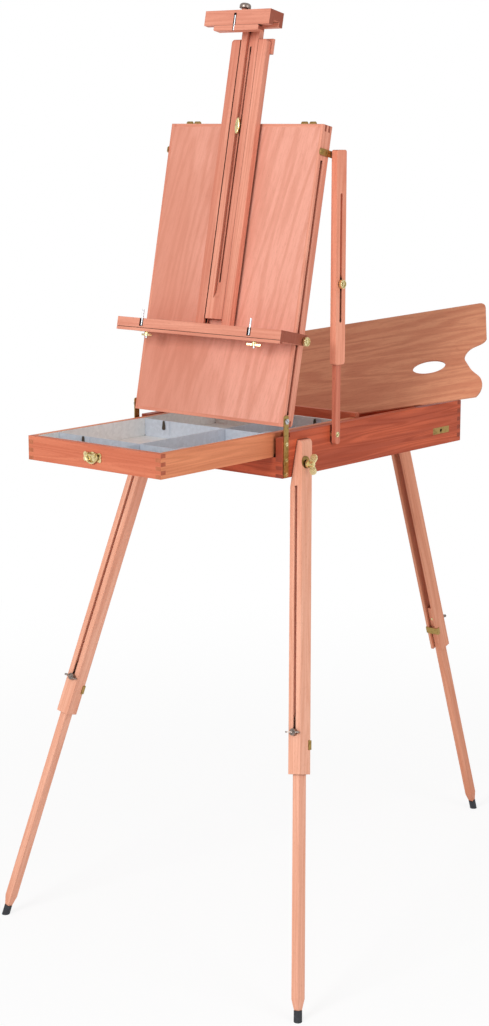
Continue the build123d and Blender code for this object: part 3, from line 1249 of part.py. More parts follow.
def all_nodes():
    """Every node by name, in the working frame."""
    nodes = {}
    side = box_side()
    nodes["box_side_right"] = side
    nodes["box_side_left"] = mirrored(side)
    back = BOX_LENGTH - END_THICK
    nodes["box_ends"] = [
        end_panel(0, FRONT_HEIGHT, (END_THICK - GROOVE_DEPTH, END_THICK)),
        end_panel(back, BOX_HEIGHT, (back, back + GROOVE_DEPTH)),
    ]
    nodes["box_floor"] = box_floor()
    nodes["drawer_runners"] = [runner(), mirrored(runner())]
    strike = strike_plate_body() - strike_hole()
    strip = hinge_strip()
    nodes["box_brass_plates"] = [strip, mirrored(strip), strike, mirrored(strike)]
    pivot = arm_pivot_screw()
    nodes["box_screws"] = strip_screws() + [pivot, mirrored(pivot), rear_bolt()]
    nodes["rear_hinge_cheeks"] = [rear_cheek(), mirrored(rear_cheek())]

    drawer = drawer_side()
    nodes["drawer_sides"] = [drawer, mirrored(drawer)]
    nodes["drawer_front"] = drawer_front()
    nodes["drawer_back"] = drawer_back()
    nodes["drawer_bottom"] = drawer_bottom()
    nodes["tray"] = tray()
    nodes["tray_dividers"] = tray_dividers()
    nodes["tray_levers"] = tray_levers()
    nodes["pull_plate"] = pull_plate()
    nodes["pull_drop"] = pull_drop()

    stile = on_lid(lid_stile())
    nodes["lid_stiles"] = [stile, mirrored(stile)]
    nodes["lid_rails"] = [on_lid(rail) for rail in lid_rails()]
    nodes["lid_panel"] = on_lid(lid_panel())
    fittings = [on_lid(shape) for shape in (lid_clasp(), lid_bracket())]
    nodes["lid_fittings"] = fittings + [mirrored(shape) for shape in fittings]
    screw = on_lid(lid_pivot_screw())
    nodes["lid_pivot_screws"] = [screw, mirrored(screw)]

    arm_pieces = {"lower": [lower_arm()], "upper": [upper_arm(), arm_top_pin()], "knob": [arm_knob()]}
    for name, shapes in arm_pieces.items():
        nodes["stay_" + name + "_right"] = shapes
        nodes["stay_" + name + "_left"] = [mirrored(shape) for shape in shapes]

    frame = [
        mast_rail(GAP),
        mirrored(mast_rail(MAST_PLAY)),
        cross_piece(CROSS_TOP_UP, CROSS_TOP_HEIGHT, CROSS_TOP_REACH),
        cross_piece(CROSS_LOW_UP, CROSS_LOW_HEIGHT, CROSS_LOW_REACH),
    ]
    nodes["mast_frame"] = [on_lid(shape) for shape in frame]
    nodes["mast_bar"] = on_lid(mast_bar())
    nodes["mast_screw"] = on_lid(mast_screw())
    nodes["clamp_block"] = [on_lid(clamp_block()), on_lid(clamp_neck())]
    nodes["clamp_lip"] = on_lid(clamp_lip())
    nodes["clamp_pin"] = on_lid(clamp_pin())
    nodes["clamp_knob"] = on_lid(clamp_knob())

    cheek = on_lid(ledge_cheek())
    nodes["ledge_board"] = [on_lid(ledge_board()), cheek, mirrored(cheek)]
    nodes["ledge_pins"] = [on_lid(pin) for pin in ledge_pins()]
    nut = on_lid(ledge_wing_nut())
    nodes["ledge_wing_right"] = nut
    nodes["ledge_wing_left"] = mirrored(nut)
    knob = on_lid(ledge_knob())
    nodes["ledge_knob_right"] = knob
    nodes["ledge_knob_left"] = mirrored(knob)
    return nodes


def leg_nodes():
    nodes = {}
    for name, piece in front_leg_set().items():
        pieces = piece if isinstance(piece, list) else [piece]
        nodes[name + "_right"] = pieces
        nodes[name + "_left"] = [mirrored(shape) for shape in pieces]
    place = REAR_LEG.location
    nodes["leg_upper_rear"] = rear_upper_leg()
    nodes["leg_lower_rear"] = place * lower_leg(REAR_LEG_DEPTH, REAR_LOWER_FROM)
    nodes["leg_foot_rear"] = leg_foot(REAR_LEG_DEPTH, REAR_LEG)
    nodes["leg_clamp_rear"] = place * leg_clamp_screw(REAR_LEG_DEPTH)
    strap = leg_strap(REAR_LEG_WIDTH, REAR_LEG_DEPTH, REAR_STRAP_AT, REAR_STRAP_HEIGHT)
    nodes["leg_strap_rear"] = place * strap
    nodes["leg_screw_rear"] = place * rear_screw()
    nodes["palette"] = palette()
    return nodes


def as_shape(piece):
    if isinstance(piece, list):
        solids = []
        for item in piece:
            solids += item.solids()
        return Compound(children=solids)
    solids = piece.solids()
    return solids[0] if len(solids) == 1 else Compound(children=list(solids))


def overall_box(nodes):
    boxes = [shape.bounding_box() for shape in nodes.values()]
    low = [min(getattr(box.min, axis) for box in boxes) for axis in "XYZ"]
    high = [max(getattr(box.max, axis) for box in boxes) for axis in "XYZ"]
    return low, high


def main():
    os.makedirs("parts", exist_ok=True)
    nodes = {name: as_shape(piece) for name, piece in {**all_nodes(), **leg_nodes()}.items()}
    low, high = overall_box(nodes)
    shift = Pos(-(low[0] + high[0]) / 2, -(low[1] + high[1]) / 2, -low[2])
    for name, shape in nodes.items():
        export_step(shape.moved(shift), os.path.join("parts", name + ".step"))
    print(len(nodes), "nodes, shift", shift.position, "size", [high[i] - low[i] for i in range(3)])


if __name__ == "__main__":
    main()
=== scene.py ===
"""Sketch box easel: wood, metal and rubber finishes, and the studio round it.

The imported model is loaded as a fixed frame. Every CAD node keeps its shape and gets a finish that is
worked out in nodes from sizes in millimetres, with the grain laid along the piece that it covers.
"""

import json
import math

import bpy
import numpy as np
from bpy.props import FloatProperty, FloatVectorProperty, PointerProperty
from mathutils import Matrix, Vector


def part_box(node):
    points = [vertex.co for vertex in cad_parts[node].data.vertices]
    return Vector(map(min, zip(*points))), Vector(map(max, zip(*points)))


bl_info = {
    "name": "Sketch box easel finishes",
    "version": (1, 0, 0),
    "blender": (4, 5, 0),
    "location": "View3D > Sidebar > Easel",
    "description": "Finishes and studio for a beech sketch box easel",
    "category": "Object",
}

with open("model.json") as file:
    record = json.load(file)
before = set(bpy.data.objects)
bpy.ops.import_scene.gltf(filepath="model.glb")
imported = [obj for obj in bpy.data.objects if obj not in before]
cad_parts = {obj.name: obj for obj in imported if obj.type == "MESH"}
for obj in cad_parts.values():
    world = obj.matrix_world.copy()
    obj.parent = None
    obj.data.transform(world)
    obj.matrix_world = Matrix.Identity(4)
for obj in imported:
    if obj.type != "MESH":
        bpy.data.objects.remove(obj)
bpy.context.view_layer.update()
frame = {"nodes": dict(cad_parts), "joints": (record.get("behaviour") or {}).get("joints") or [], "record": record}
JOINTS = {joint["name"]: joint for joint in frame["joints"]}

MM = 0.001
ACROSS = Vector((1.0, 0.0, 0.0))
FRONT_TO_BACK = Vector((0.0, 1.0, 0.0))
UPRIGHT = Vector((0.0, 0.0, 1.0))
WHITE = (1.0, 1.0, 1.0)

# The sRGB standard's curve, for values up to a full byte: a straight foot, and a power curve above it.
SRGB_FOOT = 0.04045
SRGB_FOOT_SLOPE = 12.92
SRGB_OFFSET = 0.055
SRGB_POWER = 2.4
FULL_BYTE = 255.0

# The Mix node has a set of sockets for each kind of value. These are the ones for colours.
MIX_AMOUNT = 0
MIX_GROUND = 6
MIX_STAIN = 7
MIX_RESULT = 2

# The photograph's eye: the way it looks, its place in metres from the middle of the box's lower front
# edge, its lens and film width in millimetres, and how far it sees in metres.
VIEW_AZIMUTH = math.radians(40.02)
VIEW_ELEVATION = math.radians(11.31)
VIEW_FROM_BOX = Vector((2.3679, -2.7095, 0.6335))
VIEW_LENS = 68.957
VIEW_SENSOR = 36.0
VIEW_REACH = 100.0

# A pattern is squeezed along the grain before it is drawn, which draws its marks out: 0.1 makes them ten
# times as long as they are wide.
BEECH_STREAK = 0.045
BEECH_FLECK = 0.14
VENEER_STREAK = 0.11
VENEER_FLECK = 0.12

# Growth lines are level lines of a slow noise: its size, in ring pitches for sawn beech, and how many
# lines its whole range has.
BEECH_WANDER = 6.0
BEECH_LINES = 12.0
VENEER_WANDER = 70.0 * MM
VENEER_LINES = 9.0

# Sizes of the other patterns in wood. A patch of one tone is counted in ring pitches. The heartwood's
# edge sways by this many metres over the whole range of its noise.
BEECH_TONE = 4.0
VENEER_LINE = 4.0 * MM
HEART_WANDER = 180.0 * MM
HEART_SWAY = 0.5
FLOOR_PLY = 1.3 * MM
THIN_PLY = 1.2 * MM

# How far the grain of the lid's panel slants to the right, for each step up.
PANEL_SLANT = 0.18

# Where a mark starts to show in its pattern, and where it is full.
RING_SPAN = (-0.7, 1.0)
TONE_SPAN = (0.32, 0.68)
FLECK_SPAN = (0.56, 0.74)
LINE_SPAN = (0.4, 0.72)
HEART_SPAN = (0.31, 0.09)
GLUE_SPAN = (-0.2, 0.4)
PATCH_SPAN = (0.45, 0.75)
SCUFF_SPAN = (0.5, 0.75)

# The same for how squarely two directions meet, from 1 for the same direction to 0 for a right angle.
END_SPAN = (0.75, 0.95)
PLY_EDGE_SPAN = (0.6, 0.3)
EDGE_WEAR_AND_HIGHLIGHT_SPAN = (0.995, 0.86)

# The same for the painted shade in a gap, by how open the space before a face is: 1 is open, and 0 is shut in.
WOOD_GAP_SPAN = (0.68, 0.34)
METAL_GAP_SPAN = (0.6, 0.15)
ZINC_GAP_SPAN = (0.6, 0.2)
METAL_GAP_REACH = 4.0 * MM

# How much of its own colour a full mark lays over the ground.
RING_SHARE = 0.34
TONE_SHARE = 0.6
BEECH_FLECK_SHARE = 0.45
EDGE_WEAR_AND_HIGHLIGHT_SHARE = 0.35
FIGURE_SHARE = 0.38
LINE_SHARE = 0.4
VENEER_FLECK_SHARE = 0.35
HEART_SHARE = 0.6

# The light of a darker or paler form of a colour, as a share of the colour's own.
DEEP_WOOD = 0.72
DULL_STEEL = 0.7
DULL_CASTING = 0.6
DARK_SPANGLE = 0.9
PALE_SCUFF = 3.0

# Roughness: how far a pattern takes it below and above the finish's own, and the part of the pattern's
# range that does so.
SMOOTHER = 0.06
BEECH_ROUGHER = 0.08
VENEER_ROUGHER = 0.1
METAL_ROUGHER = 0.1
WHOLE_SPAN = (0.0, 1.0)
VENEER_GLOSS_SPAN = (0.2, 0.8)
METAL_GLOSS_SPAN = (0.3, 0.7)
ZINC_ROUGHNESS = (0.36, 0.44)

# Oil is a thin clear film. Zinc carries a dull oxide skin that hides most of the metal's shine.
OIL_IOR = 1.5
OIL_SHINE = 0.3
ZINC_SHINE = 0.35
RUBBER_IOR = 1.52
RUBBER_ROUGHNESS = 0.62

# Sizes on metal and rubber. A patch of duller metal is counted in grains of the casting.
RELIEF = 0.1 * MM
METAL_ROUND = 0.5 * MM
PATCH_GRAINS = 5.0
ZINC_WAVE = 12.0 * MM
RUBBER_SCUFF = 6.0 * MM
RUBBER_GRAIN = 1.0 * MM

# The floor's disc, the distances in metres over which it fades, and how white it looks before and after.
FLOOR_SPOKES = 96
FLOOR_RINGS = 11
FLOOR_FADE = (0.5, 2.6)
FLOOR_WHITE = (0.82, 1.0)

# Strength of the room's white: as light on the object, in what shines, and as the eye sees it.
ROOM_SOFT = 0.52
ROOM_SHINE = 0.75
ROOM_WHITE = 1.0

# The lamps' places in metres and their powers in watts, and the point that they look at.
LAMPS = {
    "main_lamp": (Vector((0.3, -6.9, 3.6)), 245.0),
    "side_lamp": (Vector((4.8, -0.6, 2.0)), 62.0),
}
LAMP_TARGET = Vector((0.0, 0.0, 0.95))


def joint_direction(name):
    """The direction that a joint turns about or slides along, at rest, as a unit vector."""
    return Vector(JOINTS[name]["axis"]).normalized()


LEAN = joint_direction("mast_slide")
STAY_RUN = {side: joint_direction(f"stay_slide_{side}") for side in ("right", "left")}
LEG_RUN = {leg: joint_direction(f"leg_length_{leg}") for leg in ("right", "left", "rear")}
PALETTE_RUN = joint_direction("palette_lift_out")


def linear(code):
    """Turns an sRGB hex colour into the linear red, green and blue that shaders take."""
    rgb = []
    for byte in bytes.fromhex(code.lstrip("#")):
        step = byte / FULL_BYTE
        if step <= SRGB_FOOT:
            rgb.append(step / SRGB_FOOT_SLOPE)
        else:
            rgb.append(((step + SRGB_OFFSET) / (1.0 + SRGB_OFFSET)) ** SRGB_POWER)
    return rgb


def colour(name, description, code):
    """A colour that a user may change, with its default written as sRGB hex."""
    return FloatVectorProperty(
        name=name,
        description=description,
        default=linear(code),
        subtype="COLOR",
        size=3,
        min=0.0,
        max=1.0,
    )


def length(name, description, millimetres):
    """A size that a user may change, with its default written in millimetres."""
    return FloatProperty(
        name=name,
        description=description,
        default=millimetres * MM,
        min=0.0,
        subtype="DISTANCE",
        unit="LENGTH",
    )


class WoodSettings(bpy.types.PropertyGroup):
    """Colours of the oiled beech and the plywood, and the sizes of their figure."""

    lid_light: colour("Lid light", "Early wood of the lid, mast, clamp and ledge", "#EFA48A")
    lid_dark: colour("Lid dark", "Late wood of the lid, mast, clamp and ledge", "#CC7860")
    box_light: colour("Box light", "Early wood of the box", "#D86742")
    box_dark: colour("Box dark", "Late wood of the box", "#963A22")
    runner_light: colour("Drawer side light", "Early wood of the drawer's sides", "#F0986C")
    runner_dark: colour("Drawer side dark", "Late wood of the drawer's sides", "#C4704A")
    drawer_light: colour("Drawer end light", "Early wood of the drawer's front and back", "#E58765")
    drawer_dark: colour("Drawer end dark", "Late wood of the drawer's front and back", "#C16143")
    stay_light: colour("Stay light", "Early wood of the stays' upper arms", "#FAAA8C")
    stay_dark: colour("Stay dark", "Late wood of the stays' upper arms", "#D87A5D")
    # Painted shade: the lower bars are the same beech as the upper arms, given darker colours for the shade that
    # falls on them under the lid.
    strut_light_shaded: colour("Lower stay light", "Early wood of the stays' lower bars, darkened by painted shade", "#D98066")
    strut_dark_shaded: colour("Lower stay dark", "Late wood of the stays' lower bars, darkened by painted shade", "#A9523A")
    leg_light: colour("Leg light", "Early wood of the front legs", "#F9BA9E")
    leg_dark: colour("Leg dark", "Late wood of the front legs", "#DA8F70")
    rear_light: colour("Rear leg light", "Early wood of the rear leg", "#EAA484")
    rear_dark: colour("Rear leg dark", "Late wood of the rear leg", "#C97858")
    palette_light: colour("Palette light", "Pale veneer of the palette", "#E39C77")
    palette_dark: colour("Palette dark", "Dark veneer of the palette", "#BE6A4D")
    panel_light: colour("Panel light", "Pale veneer of the lid's panel and the floors", "#F0A994")
    panel_dark: colour("Panel dark", "Dark veneer of the lid's panel and the floors", "#D0836A")
    end_grain: colour("End grain", "Open ends of the grain, which drink more oil", "#8E3F2A")
    # Painted shade: a near-black brown laid into narrow gaps and slots, up to the gap reach.
    gap_shade_tint: colour("Painted gap shade", "Painted shade in narrow gaps and slots", "#260905")
    gap_reach: length("Gap reach", "Widest gap that looks dark", 8.0)
    ring_pitch: length("Ring pitch", "Distance between growth rings in sawn beech", 5.0)
    fleck_width: length("Fleck width", "Width of a ray fleck, drawn three times as coarse as it is", 1.0)
    edge_round: length("Edge round", "Radius of the sanded edges", 0.8)


class MetalSettings(bpy.types.PropertyGroup):
    """Colours of the metals and the rubber, and the sizes of their skin."""

    brass: colour("Brass", "Lacquered cast brass", "#EFE0AC")
    brass_dull: colour("Dull brass", "Brass where the lacquer has dulled", "#B89D60")
    sheet: colour("Sheet brass", "Stamped brass plates", "#AD8F55")
    sheet_dull: colour("Dull sheet brass", "Stamped brass where it has browned", "#7F6536")
    steel: colour("Steel", "Zinc-plated steel", "#C8CBCF")
    dark: colour("Dark metal", "Darkened steel of the tray's levers", "#5C5348")
    knob: colour("Knob", "Pewter-grey casting of the clamp's knob and the legs' screws", "#968880")
    # Painted shade: a dark brown laid into the corners and recesses of the fittings and the tray.
    recess_shade: colour("Recess shade", "Painted shade in the corners of the fittings and the tray", "#33260F")
    zinc: colour("Zinc", "Galvanised sheet of the tray", "#E9E9E6")
    divider: colour("Divider zinc", "Greyer galvanised sheet of the dividers", "#C9CFD9")
    rubber: colour("Rubber", "Black rubber of the feet", "#212329")
    spangle: length("Spangle", "Crystal size on the galvanised sheet", 6.0)
    cast_grain: length("Cast grain", "Unevenness of cast brass", 1.2)


class StageSettings(bpy.types.PropertyGroup):
    """Sizes and colours of the floor and the lamps."""

    floor: colour("Floor", "Pale floor", "#F4F4F4")
    floor_radius: length("Floor radius", "Radius of the floor", 14000.0)
    lamp_size: length("Lamp size", "Width of each soft lamp", 2600.0)


def add(tree, kind, inputs=None, **settings):
    """Adds a node, sets its settings, and gives each named input a value or a link."""
    node = tree.nodes.new(kind)
    for name, value in settings.items():
        setattr(node, name, value)
    for name, value in (inputs or {}).items():
        if isinstance(value, bpy.types.NodeSocket):
            tree.links.new(value, node.inputs[name])
        else:
            node.inputs[name].default_value = value
    return node


def opaque(rgb):
    """A colour with full alpha, as colour sockets take it."""
    return (*rgb, 1.0)


def shaded(rgb, share):
    """A colour with a share of its light, and no brighter than white."""
    return [min(part * share, 1.0) for part in rgb]


def bare_material(name):
    """A material without nodes: returns it and its node tree."""
    material = bpy.data.materials.new(name)
    material.use_nodes = True
    material.node_tree.nodes.clear()
    return material, material.node_tree


def new_material(name):
    """A material with only a shader and its output: returns it, its node tree and its shader."""
    material, tree = bare_material(name)
    shader = add(tree, "ShaderNodeBsdfPrincipled")
    add(tree, "ShaderNodeOutputMaterial", {"Surface": shader.outputs["BSDF"]})
    return material, tree, shader


def put_on(material, *nodes):
    """Gives CAD nodes a material in their own slot."""
    for node in nodes:
        slots = frame["nodes"][node].data.materials
        slots.clear()
        slots.append(material)


def marks_in(tree, pattern, span):
    """Where a pattern shows a mark: 0 up to the span's start, 1 from its end, and a soft step between.
    A span that runs downwards makes marks of the pattern's low values.
    """
    start, full = span
    step = add(
        tree, "ShaderNodeMapRange",
        {"Value": pattern, "From Min": start, "From Max": full, "To Min": 0.0, "To Max": 1.0},
        interpolation_type="SMOOTHSTEP",
    )
    return step.outputs["Result"]


def stained(tree, ground, marks, stain, share=1.0):
    """Lays a stain over a ground colour: at a full mark, the given share of the colour is the stain's."""
    amount = add(tree, "ShaderNodeMath", {0: marks, 1: share}, operation="MULTIPLY")
    layers = {
        socket: layer if isinstance(layer, bpy.types.NodeSocket) else opaque(layer)
        for socket, layer in ((MIX_GROUND, ground), (MIX_STAIN, stain))
    }
    mix = add(tree, "ShaderNodeMix", {MIX_AMOUNT: amount.outputs[0], **layers}, data_type="RGBA")
    return mix.outputs[MIX_RESULT]


def gap_shade_marks(tree, reach, span):
    """Painted shade: marks deep in a narrow gap or slot, where ambient occlusion finds little open space, and none
    on open faces.
    """
    closed = add(tree, "ShaderNodeAmbientOcclusion", {"Distance": reach}, samples=8)
    return marks_in(tree, closed.outputs["AO"], span)


def vary_gloss(tree, shader, pattern, span, roughness):
    """Lets the roughness go evenly from its low to its high value as a pattern crosses its span."""
    start, end = span
    low, high = roughness
    gloss = add(
        tree, "ShaderNodeMapRange",
        {"Value": pattern, "From Min": start, "From Max": end, "To Min": low, "To Max": high},
    )
    tree.links.new(gloss.outputs["Result"], shader.inputs["Roughness"])


def carve(tree, shader, pattern, strength, sunk=False, base=None):
    """Raises a pattern from the surface, or sinks it, on top of a base normal where one is given."""
    inputs = {"Strength": strength, "Distance": RELIEF, "Height": pattern}
    if base is not None:
        inputs["Normal"] = base
    bump = add(tree, "ShaderNodeBump", inputs, invert=sunk)
    tree.links.new(bump.outputs["Normal"], shader.inputs["Normal"])


def oil_film(shader):
    """A thin film of oil, which gives wood a soft low shine."""
    shader.inputs["IOR"].default_value = OIL_IOR
    shader.inputs["Specular IOR Level"].default_value = OIL_SHINE


def along_grain(tree, place, grain):
    """Coordinates turned so that the first one runs along the grain."""
    turn = grain.rotation_difference(ACROSS).to_euler()
    turned = add(tree, "ShaderNodeMapping", {"Vector": place.outputs["Object"], "Rotation": turn})
    return turned.outputs[0]


def drawn_out(tree, along, squeeze):
    """Coordinates squeezed along the grain, which draws the marks of a pattern out into streaks."""
    squeezed = add(tree, "ShaderNodeVectorMath", {0: along, 1: (squeeze, 1.0, 1.0)}, operation="MULTIPLY")
    return squeezed.outputs[0]


def growth_lines(tree, drawn, wander, count):
    """Growth rings as a flat cut shows them: the level lines of a slow noise, from the sine of many turns
    over its range.
    """
    slow = add(
        tree, "ShaderNodeTexNoise",
        {"Vector": drawn, "Scale": 1.0 / wander, "Detail": 2.0, "Roughness": 0.45},
    )
    turns = add(
        tree, "ShaderNodeMath", {0: slow.outputs["Fac"], 1: math.tau * count}, operation="MULTIPLY"
    )
    level = add(tree, "ShaderNodeMath", {0: turns.outputs[0]}, operation="SINE")
    return marks_in(tree, level.outputs[0], RING_SPAN)


def ray_flecks(tree, drawn):
    """Short dark flecks where the cut runs through the rays of the wood."""
    wood = bpy.context.scene.easel_wood
    flecks = add(
        tree, "ShaderNodeTexNoise",
        {"Vector": drawn, "Scale": 1.0 / wood.fleck_width, "Detail": 2.0, "Roughness": 0.7},
    )
    return marks_in(tree, flecks.outputs["Fac"], FLECK_SPAN)


def faces_along(tree, place, direction, span):
    """Marks by how squarely a face looks along a direction, either way."""
    facing = add(
        tree, "ShaderNodeVectorMath", {0: place.outputs["Normal"], 1: direction}, operation="DOT_PRODUCT"
    )
    squarely = add(tree, "ShaderNodeMath", {0: facing.outputs["Value"]}, operation="ABSOLUTE")
    return marks_in(tree, squarely.outputs[0], span)


def edge_wear_and_highlight(tree, rounded):
    """Marks where the sanded edges turn away from the flat faces beside them. The paler colour laid there is
    partly rubbed wear and partly a painted highlight.
    """
    flat = add(tree, "ShaderNodeNewGeometry")
    same = add(
        tree, "ShaderNodeVectorMath", {0: rounded, 1: flat.outputs["Normal"]}, operation="DOT_PRODUCT"
    )
    return marks_in(tree, same.outputs["Value"], EDGE_WEAR_AND_HIGHLIGHT_SPAN)


def oiled_wood(name, light, dark, grain, figure=1.0, sheen=0.5, soak=0.85):
    """Beech, sawn and planed along its grain, then oiled: growth rings drawn out into long streaks, short
    dark ray flecks, slow changes of tone, and dark open grain on the ends.
    """
    wood = bpy.context.scene.easel_wood
    material, tree, shader = new_material(name)
    place = add(tree, "ShaderNodeTexCoord")
    along = along_grain(tree, place, grain)
    drawn = drawn_out(tree, along, BEECH_STREAK)
    rings = growth_lines(tree, drawn, BEECH_WANDER * wood.ring_pitch, BEECH_LINES)
    tone_size = BEECH_TONE * wood.ring_pitch
    tone = add(
        tree, "ShaderNodeTexNoise",
        {"Vector": drawn, "Scale": 1.0 / tone_size, "Detail": 4.0, "Roughness": 0.62},
    )
    tones = marks_in(tree, tone.outputs["Fac"], TONE_SPAN)
    flecks = ray_flecks(tree, drawn_out(tree, along, BEECH_FLECK))
    ends = faces_along(tree, place, grain, END_SPAN)
    rounded = add(tree, "ShaderNodeBevel", {"Radius": wood.edge_round}, samples=4).outputs[0]
    gaps = gap_shade_marks(tree, wood.gap_reach, WOOD_GAP_SPAN)
    body = stained(tree, light, rings, dark, RING_SHARE * figure)
    body = stained(tree, body, tones, dark, TONE_SHARE * figure)
    body = stained(tree, body, flecks, shaded(dark, DEEP_WOOD), BEECH_FLECK_SHARE)
    body = stained(tree, body, ends, wood.end_grain, soak)
    # Paler sanded edges: rubbed wear, and a painted highlight.
    body = stained(tree, body, edge_wear_and_highlight(tree, rounded), light, EDGE_WEAR_AND_HIGHLIGHT_SHARE)
    # Painted shade in narrow gaps and slots.
    body = stained(tree, body, gaps, wood.gap_shade_tint)
    tree.links.new(body, shader.inputs["Base Color"])
    vary_gloss(tree, shader, rings, WHOLE_SPAN, (sheen - SMOOTHER, sheen + BEECH_ROUGHER))
    pores = add(tree, "ShaderNodeMath", {0: rings, 1: flecks}, operation="ADD")
    carve(tree, shader, pores.outputs[0], strength=0.35, sunk=True, base=rounded)
    oil_film(shader)
    return material


def heartwood(tree, along, place):
    """Marks of the browner heartwood: more toward the left of a sheet, with a wandering edge."""
    wander = add(
        tree, "ShaderNodeTexNoise", {"Vector": along, "Scale": 1.0 / HEART_WANDER, "Detail": 2.0}
    )
    across = add(tree, "ShaderNodeSeparateXYZ", {"Vector": place.outputs["Object"]})
    swayed = add(
        tree, "ShaderNodeMath",
        {0: wander.outputs["Fac"], 1: HEART_SWAY, 2: across.outputs["X"]},
        operation="MULTIPLY_ADD",
    )
    return marks_in(tree, swayed.outputs[0], HEART_SPAN)


def glue_lines(tree, place, face, ply):
    """Dark glue lines through a sheet: marks of a wave across its thickness, one turn for each ply."""
    depth = add(
        tree, "ShaderNodeVectorMath", {0: place.outputs["Object"], 1: face}, operation="DOT_PRODUCT"
    )
    turns = add(
        tree, "ShaderNodeMath", {0: depth.outputs["Value"], 1: math.tau / ply}, operation="MULTIPLY"
    )
    wave = add(tree, "ShaderNodeMath", {0: turns.outputs[0]}, operation="SINE")
    return marks_in(tree, wave.outputs[0], GLUE_SPAN)


def peeled_veneer(name, light, dark, grain, face, ply, sheen=0.5, heart=0.0):
    """Plywood: a peeled veneer with broad wandering figure on its faces, and thin glued plies on its
    edges, one on the other in the direction of face.
    """
    wood = bpy.context.scene.easel_wood
    deep = shaded(dark, DEEP_WOOD)
    material, tree, shader = new_material(name)
    place = add(tree, "ShaderNodeTexCoord")
    along = along_grain(tree, place, grain)
    drawn = drawn_out(tree, along, VENEER_STREAK)
    figure = growth_lines(tree, drawn, VENEER_WANDER, VENEER_LINES)
    pores = add(
        tree, "ShaderNodeTexNoise",
        {"Vector": drawn, "Scale": 1.0 / VENEER_LINE, "Detail": 4.0, "Roughness": 0.7},
    )
    lines = marks_in(tree, pores.outputs["Fac"], LINE_SPAN)
    flecks = ray_flecks(tree, drawn_out(tree, along, VENEER_FLECK))
    gaps = gap_shade_marks(tree, wood.gap_reach, WOOD_GAP_SPAN)
    body = stained(tree, light, figure, dark, FIGURE_SHARE)
    body = stained(tree, body, lines, dark, LINE_SHARE)
    body = stained(tree, body, flecks, deep, VENEER_FLECK_SHARE)
    body = stained(tree, body, heartwood(tree, along, place), dark, heart)
    # Painted shade in narrow gaps and slots.
    body = stained(tree, body, gaps, wood.gap_shade_tint)
    edge = stained(tree, light, glue_lines(tree, place, face, ply), deep)
    body = stained(tree, body, faces_along(tree, place, face, PLY_EDGE_SPAN), edge)
    tree.links.new(body, shader.inputs["Base Color"])
    vary_gloss(
        tree, shader, pores.outputs["Fac"], VENEER_GLOSS_SPAN, (sheen - SMOOTHER, sheen + VENEER_ROUGHER)
    )
    carve(tree, shader, flecks, strength=0.3, sunk=True)
    oil_film(shader)
    return material


def cast_metal(name, bright, dull, rough, pits=0.3):
    """Metal, cast or stamped and then tumbled: its colour changes slowly, its gloss follows a faint uneven
    skin, and painted shade darkens its corners.
    """
    metal = bpy.context.scene.easel_metal
    material, tree, shader = new_material(name)
    place = add(tree, "ShaderNodeTexCoord")
    patches, skin = (
        add(
            tree, "ShaderNodeTexNoise",
            {"Vector": place.outputs["Object"], "Scale": 1.0 / size, "Detail": 3.0, "Roughness": 0.6},
        ).outputs["Fac"]
        for size in (PATCH_GRAINS * metal.cast_grain, metal.cast_grain)
    )
    body = stained(tree, bright, marks_in(tree, patches, PATCH_SPAN), dull)
    # Painted shade in corners and recesses.
    body = stained(tree, body, gap_shade_marks(tree, METAL_GAP_REACH, METAL_GAP_SPAN), metal.recess_shade)
    tree.links.new(body, shader.inputs["Base Color"])
    vary_gloss(tree, shader, skin, METAL_GLOSS_SPAN, (rough - SMOOTHER, rough + METAL_ROUGHER))
    rounded = add(tree, "ShaderNodeBevel", {"Radius": METAL_ROUND}, samples=4)
    carve(tree, shader, skin, strength=pits, base=rounded.outputs[0])
    shader.inputs["Metallic"].default_value = 1.0
    return material


def galvanised_sheet(name, zinc):
    """Hot-dipped zinc on thin sheet: flat crystals that each catch the light a little differently."""
    metal = bpy.context.scene.easel_metal
    material, tree, shader = new_material(name)
    place = add(tree, "ShaderNodeTexCoord")
    crystals = add(
        tree, "ShaderNodeTexVoronoi",
        {"Vector": place.outputs["Object"], "Scale": 1.0 / metal.spangle, "Randomness": 1.0},
    )
    shade = add(tree, "ShaderNodeSeparateColor", {"Color": crystals.outputs["Color"]})
    body = stained(tree, zinc, shade.outputs["Red"], shaded(zinc, DARK_SPANGLE))
    # Painted shade in corners and recesses.
    body = stained(tree, body, gap_shade_marks(tree, METAL_GAP_REACH, ZINC_GAP_SPAN), metal.recess_shade)
    tree.links.new(body, shader.inputs["Base Color"])
    vary_gloss(tree, shader, shade.outputs["Green"], WHOLE_SPAN, ZINC_ROUGHNESS)
    waves = add(
        tree, "ShaderNodeTexNoise",
        {"Vector": place.outputs["Object"], "Scale": 1.0 / ZINC_WAVE, "Detail": 1.0, "Roughness": 0.5},
    )
    carve(tree, shader, waves.outputs["Fac"], strength=0.2)
    shader.inputs["Metallic"].default_value = ZINC_SHINE
    return material


def moulded_rubber(name):
    """Black rubber, moulded: matt, with a faint grain and paler scuffs."""
    metal = bpy.context.scene.easel_metal
    material, tree, shader = new_material(name)
    place = add(tree, "ShaderNodeTexCoord")
    scuffs = add(
        tree, "ShaderNodeTexNoise",
        {"Vector": place.outputs["Object"], "Scale": 1.0 / RUBBER_SCUFF, "Detail": 4.0, "Roughness": 0.7},
    )
    worn = marks_in(tree, scuffs.outputs["Fac"], SCUFF_SPAN)
    body = stained(tree, metal.rubber, worn, shaded(metal.rubber, PALE_SCUFF))
    tree.links.new(body, shader.inputs["Base Color"])
    grain = add(
        tree, "ShaderNodeTexNoise",
        {"Vector": place.outputs["Object"], "Scale": 1.0 / RUBBER_GRAIN, "Detail": 2.0},
    )
    carve(tree, shader, grain.outputs["Fac"], strength=0.3)
    shader.inputs["Roughness"].default_value = RUBBER_ROUGHNESS
    shader.inputs["IOR"].default_value = RUBBER_IOR
    return material


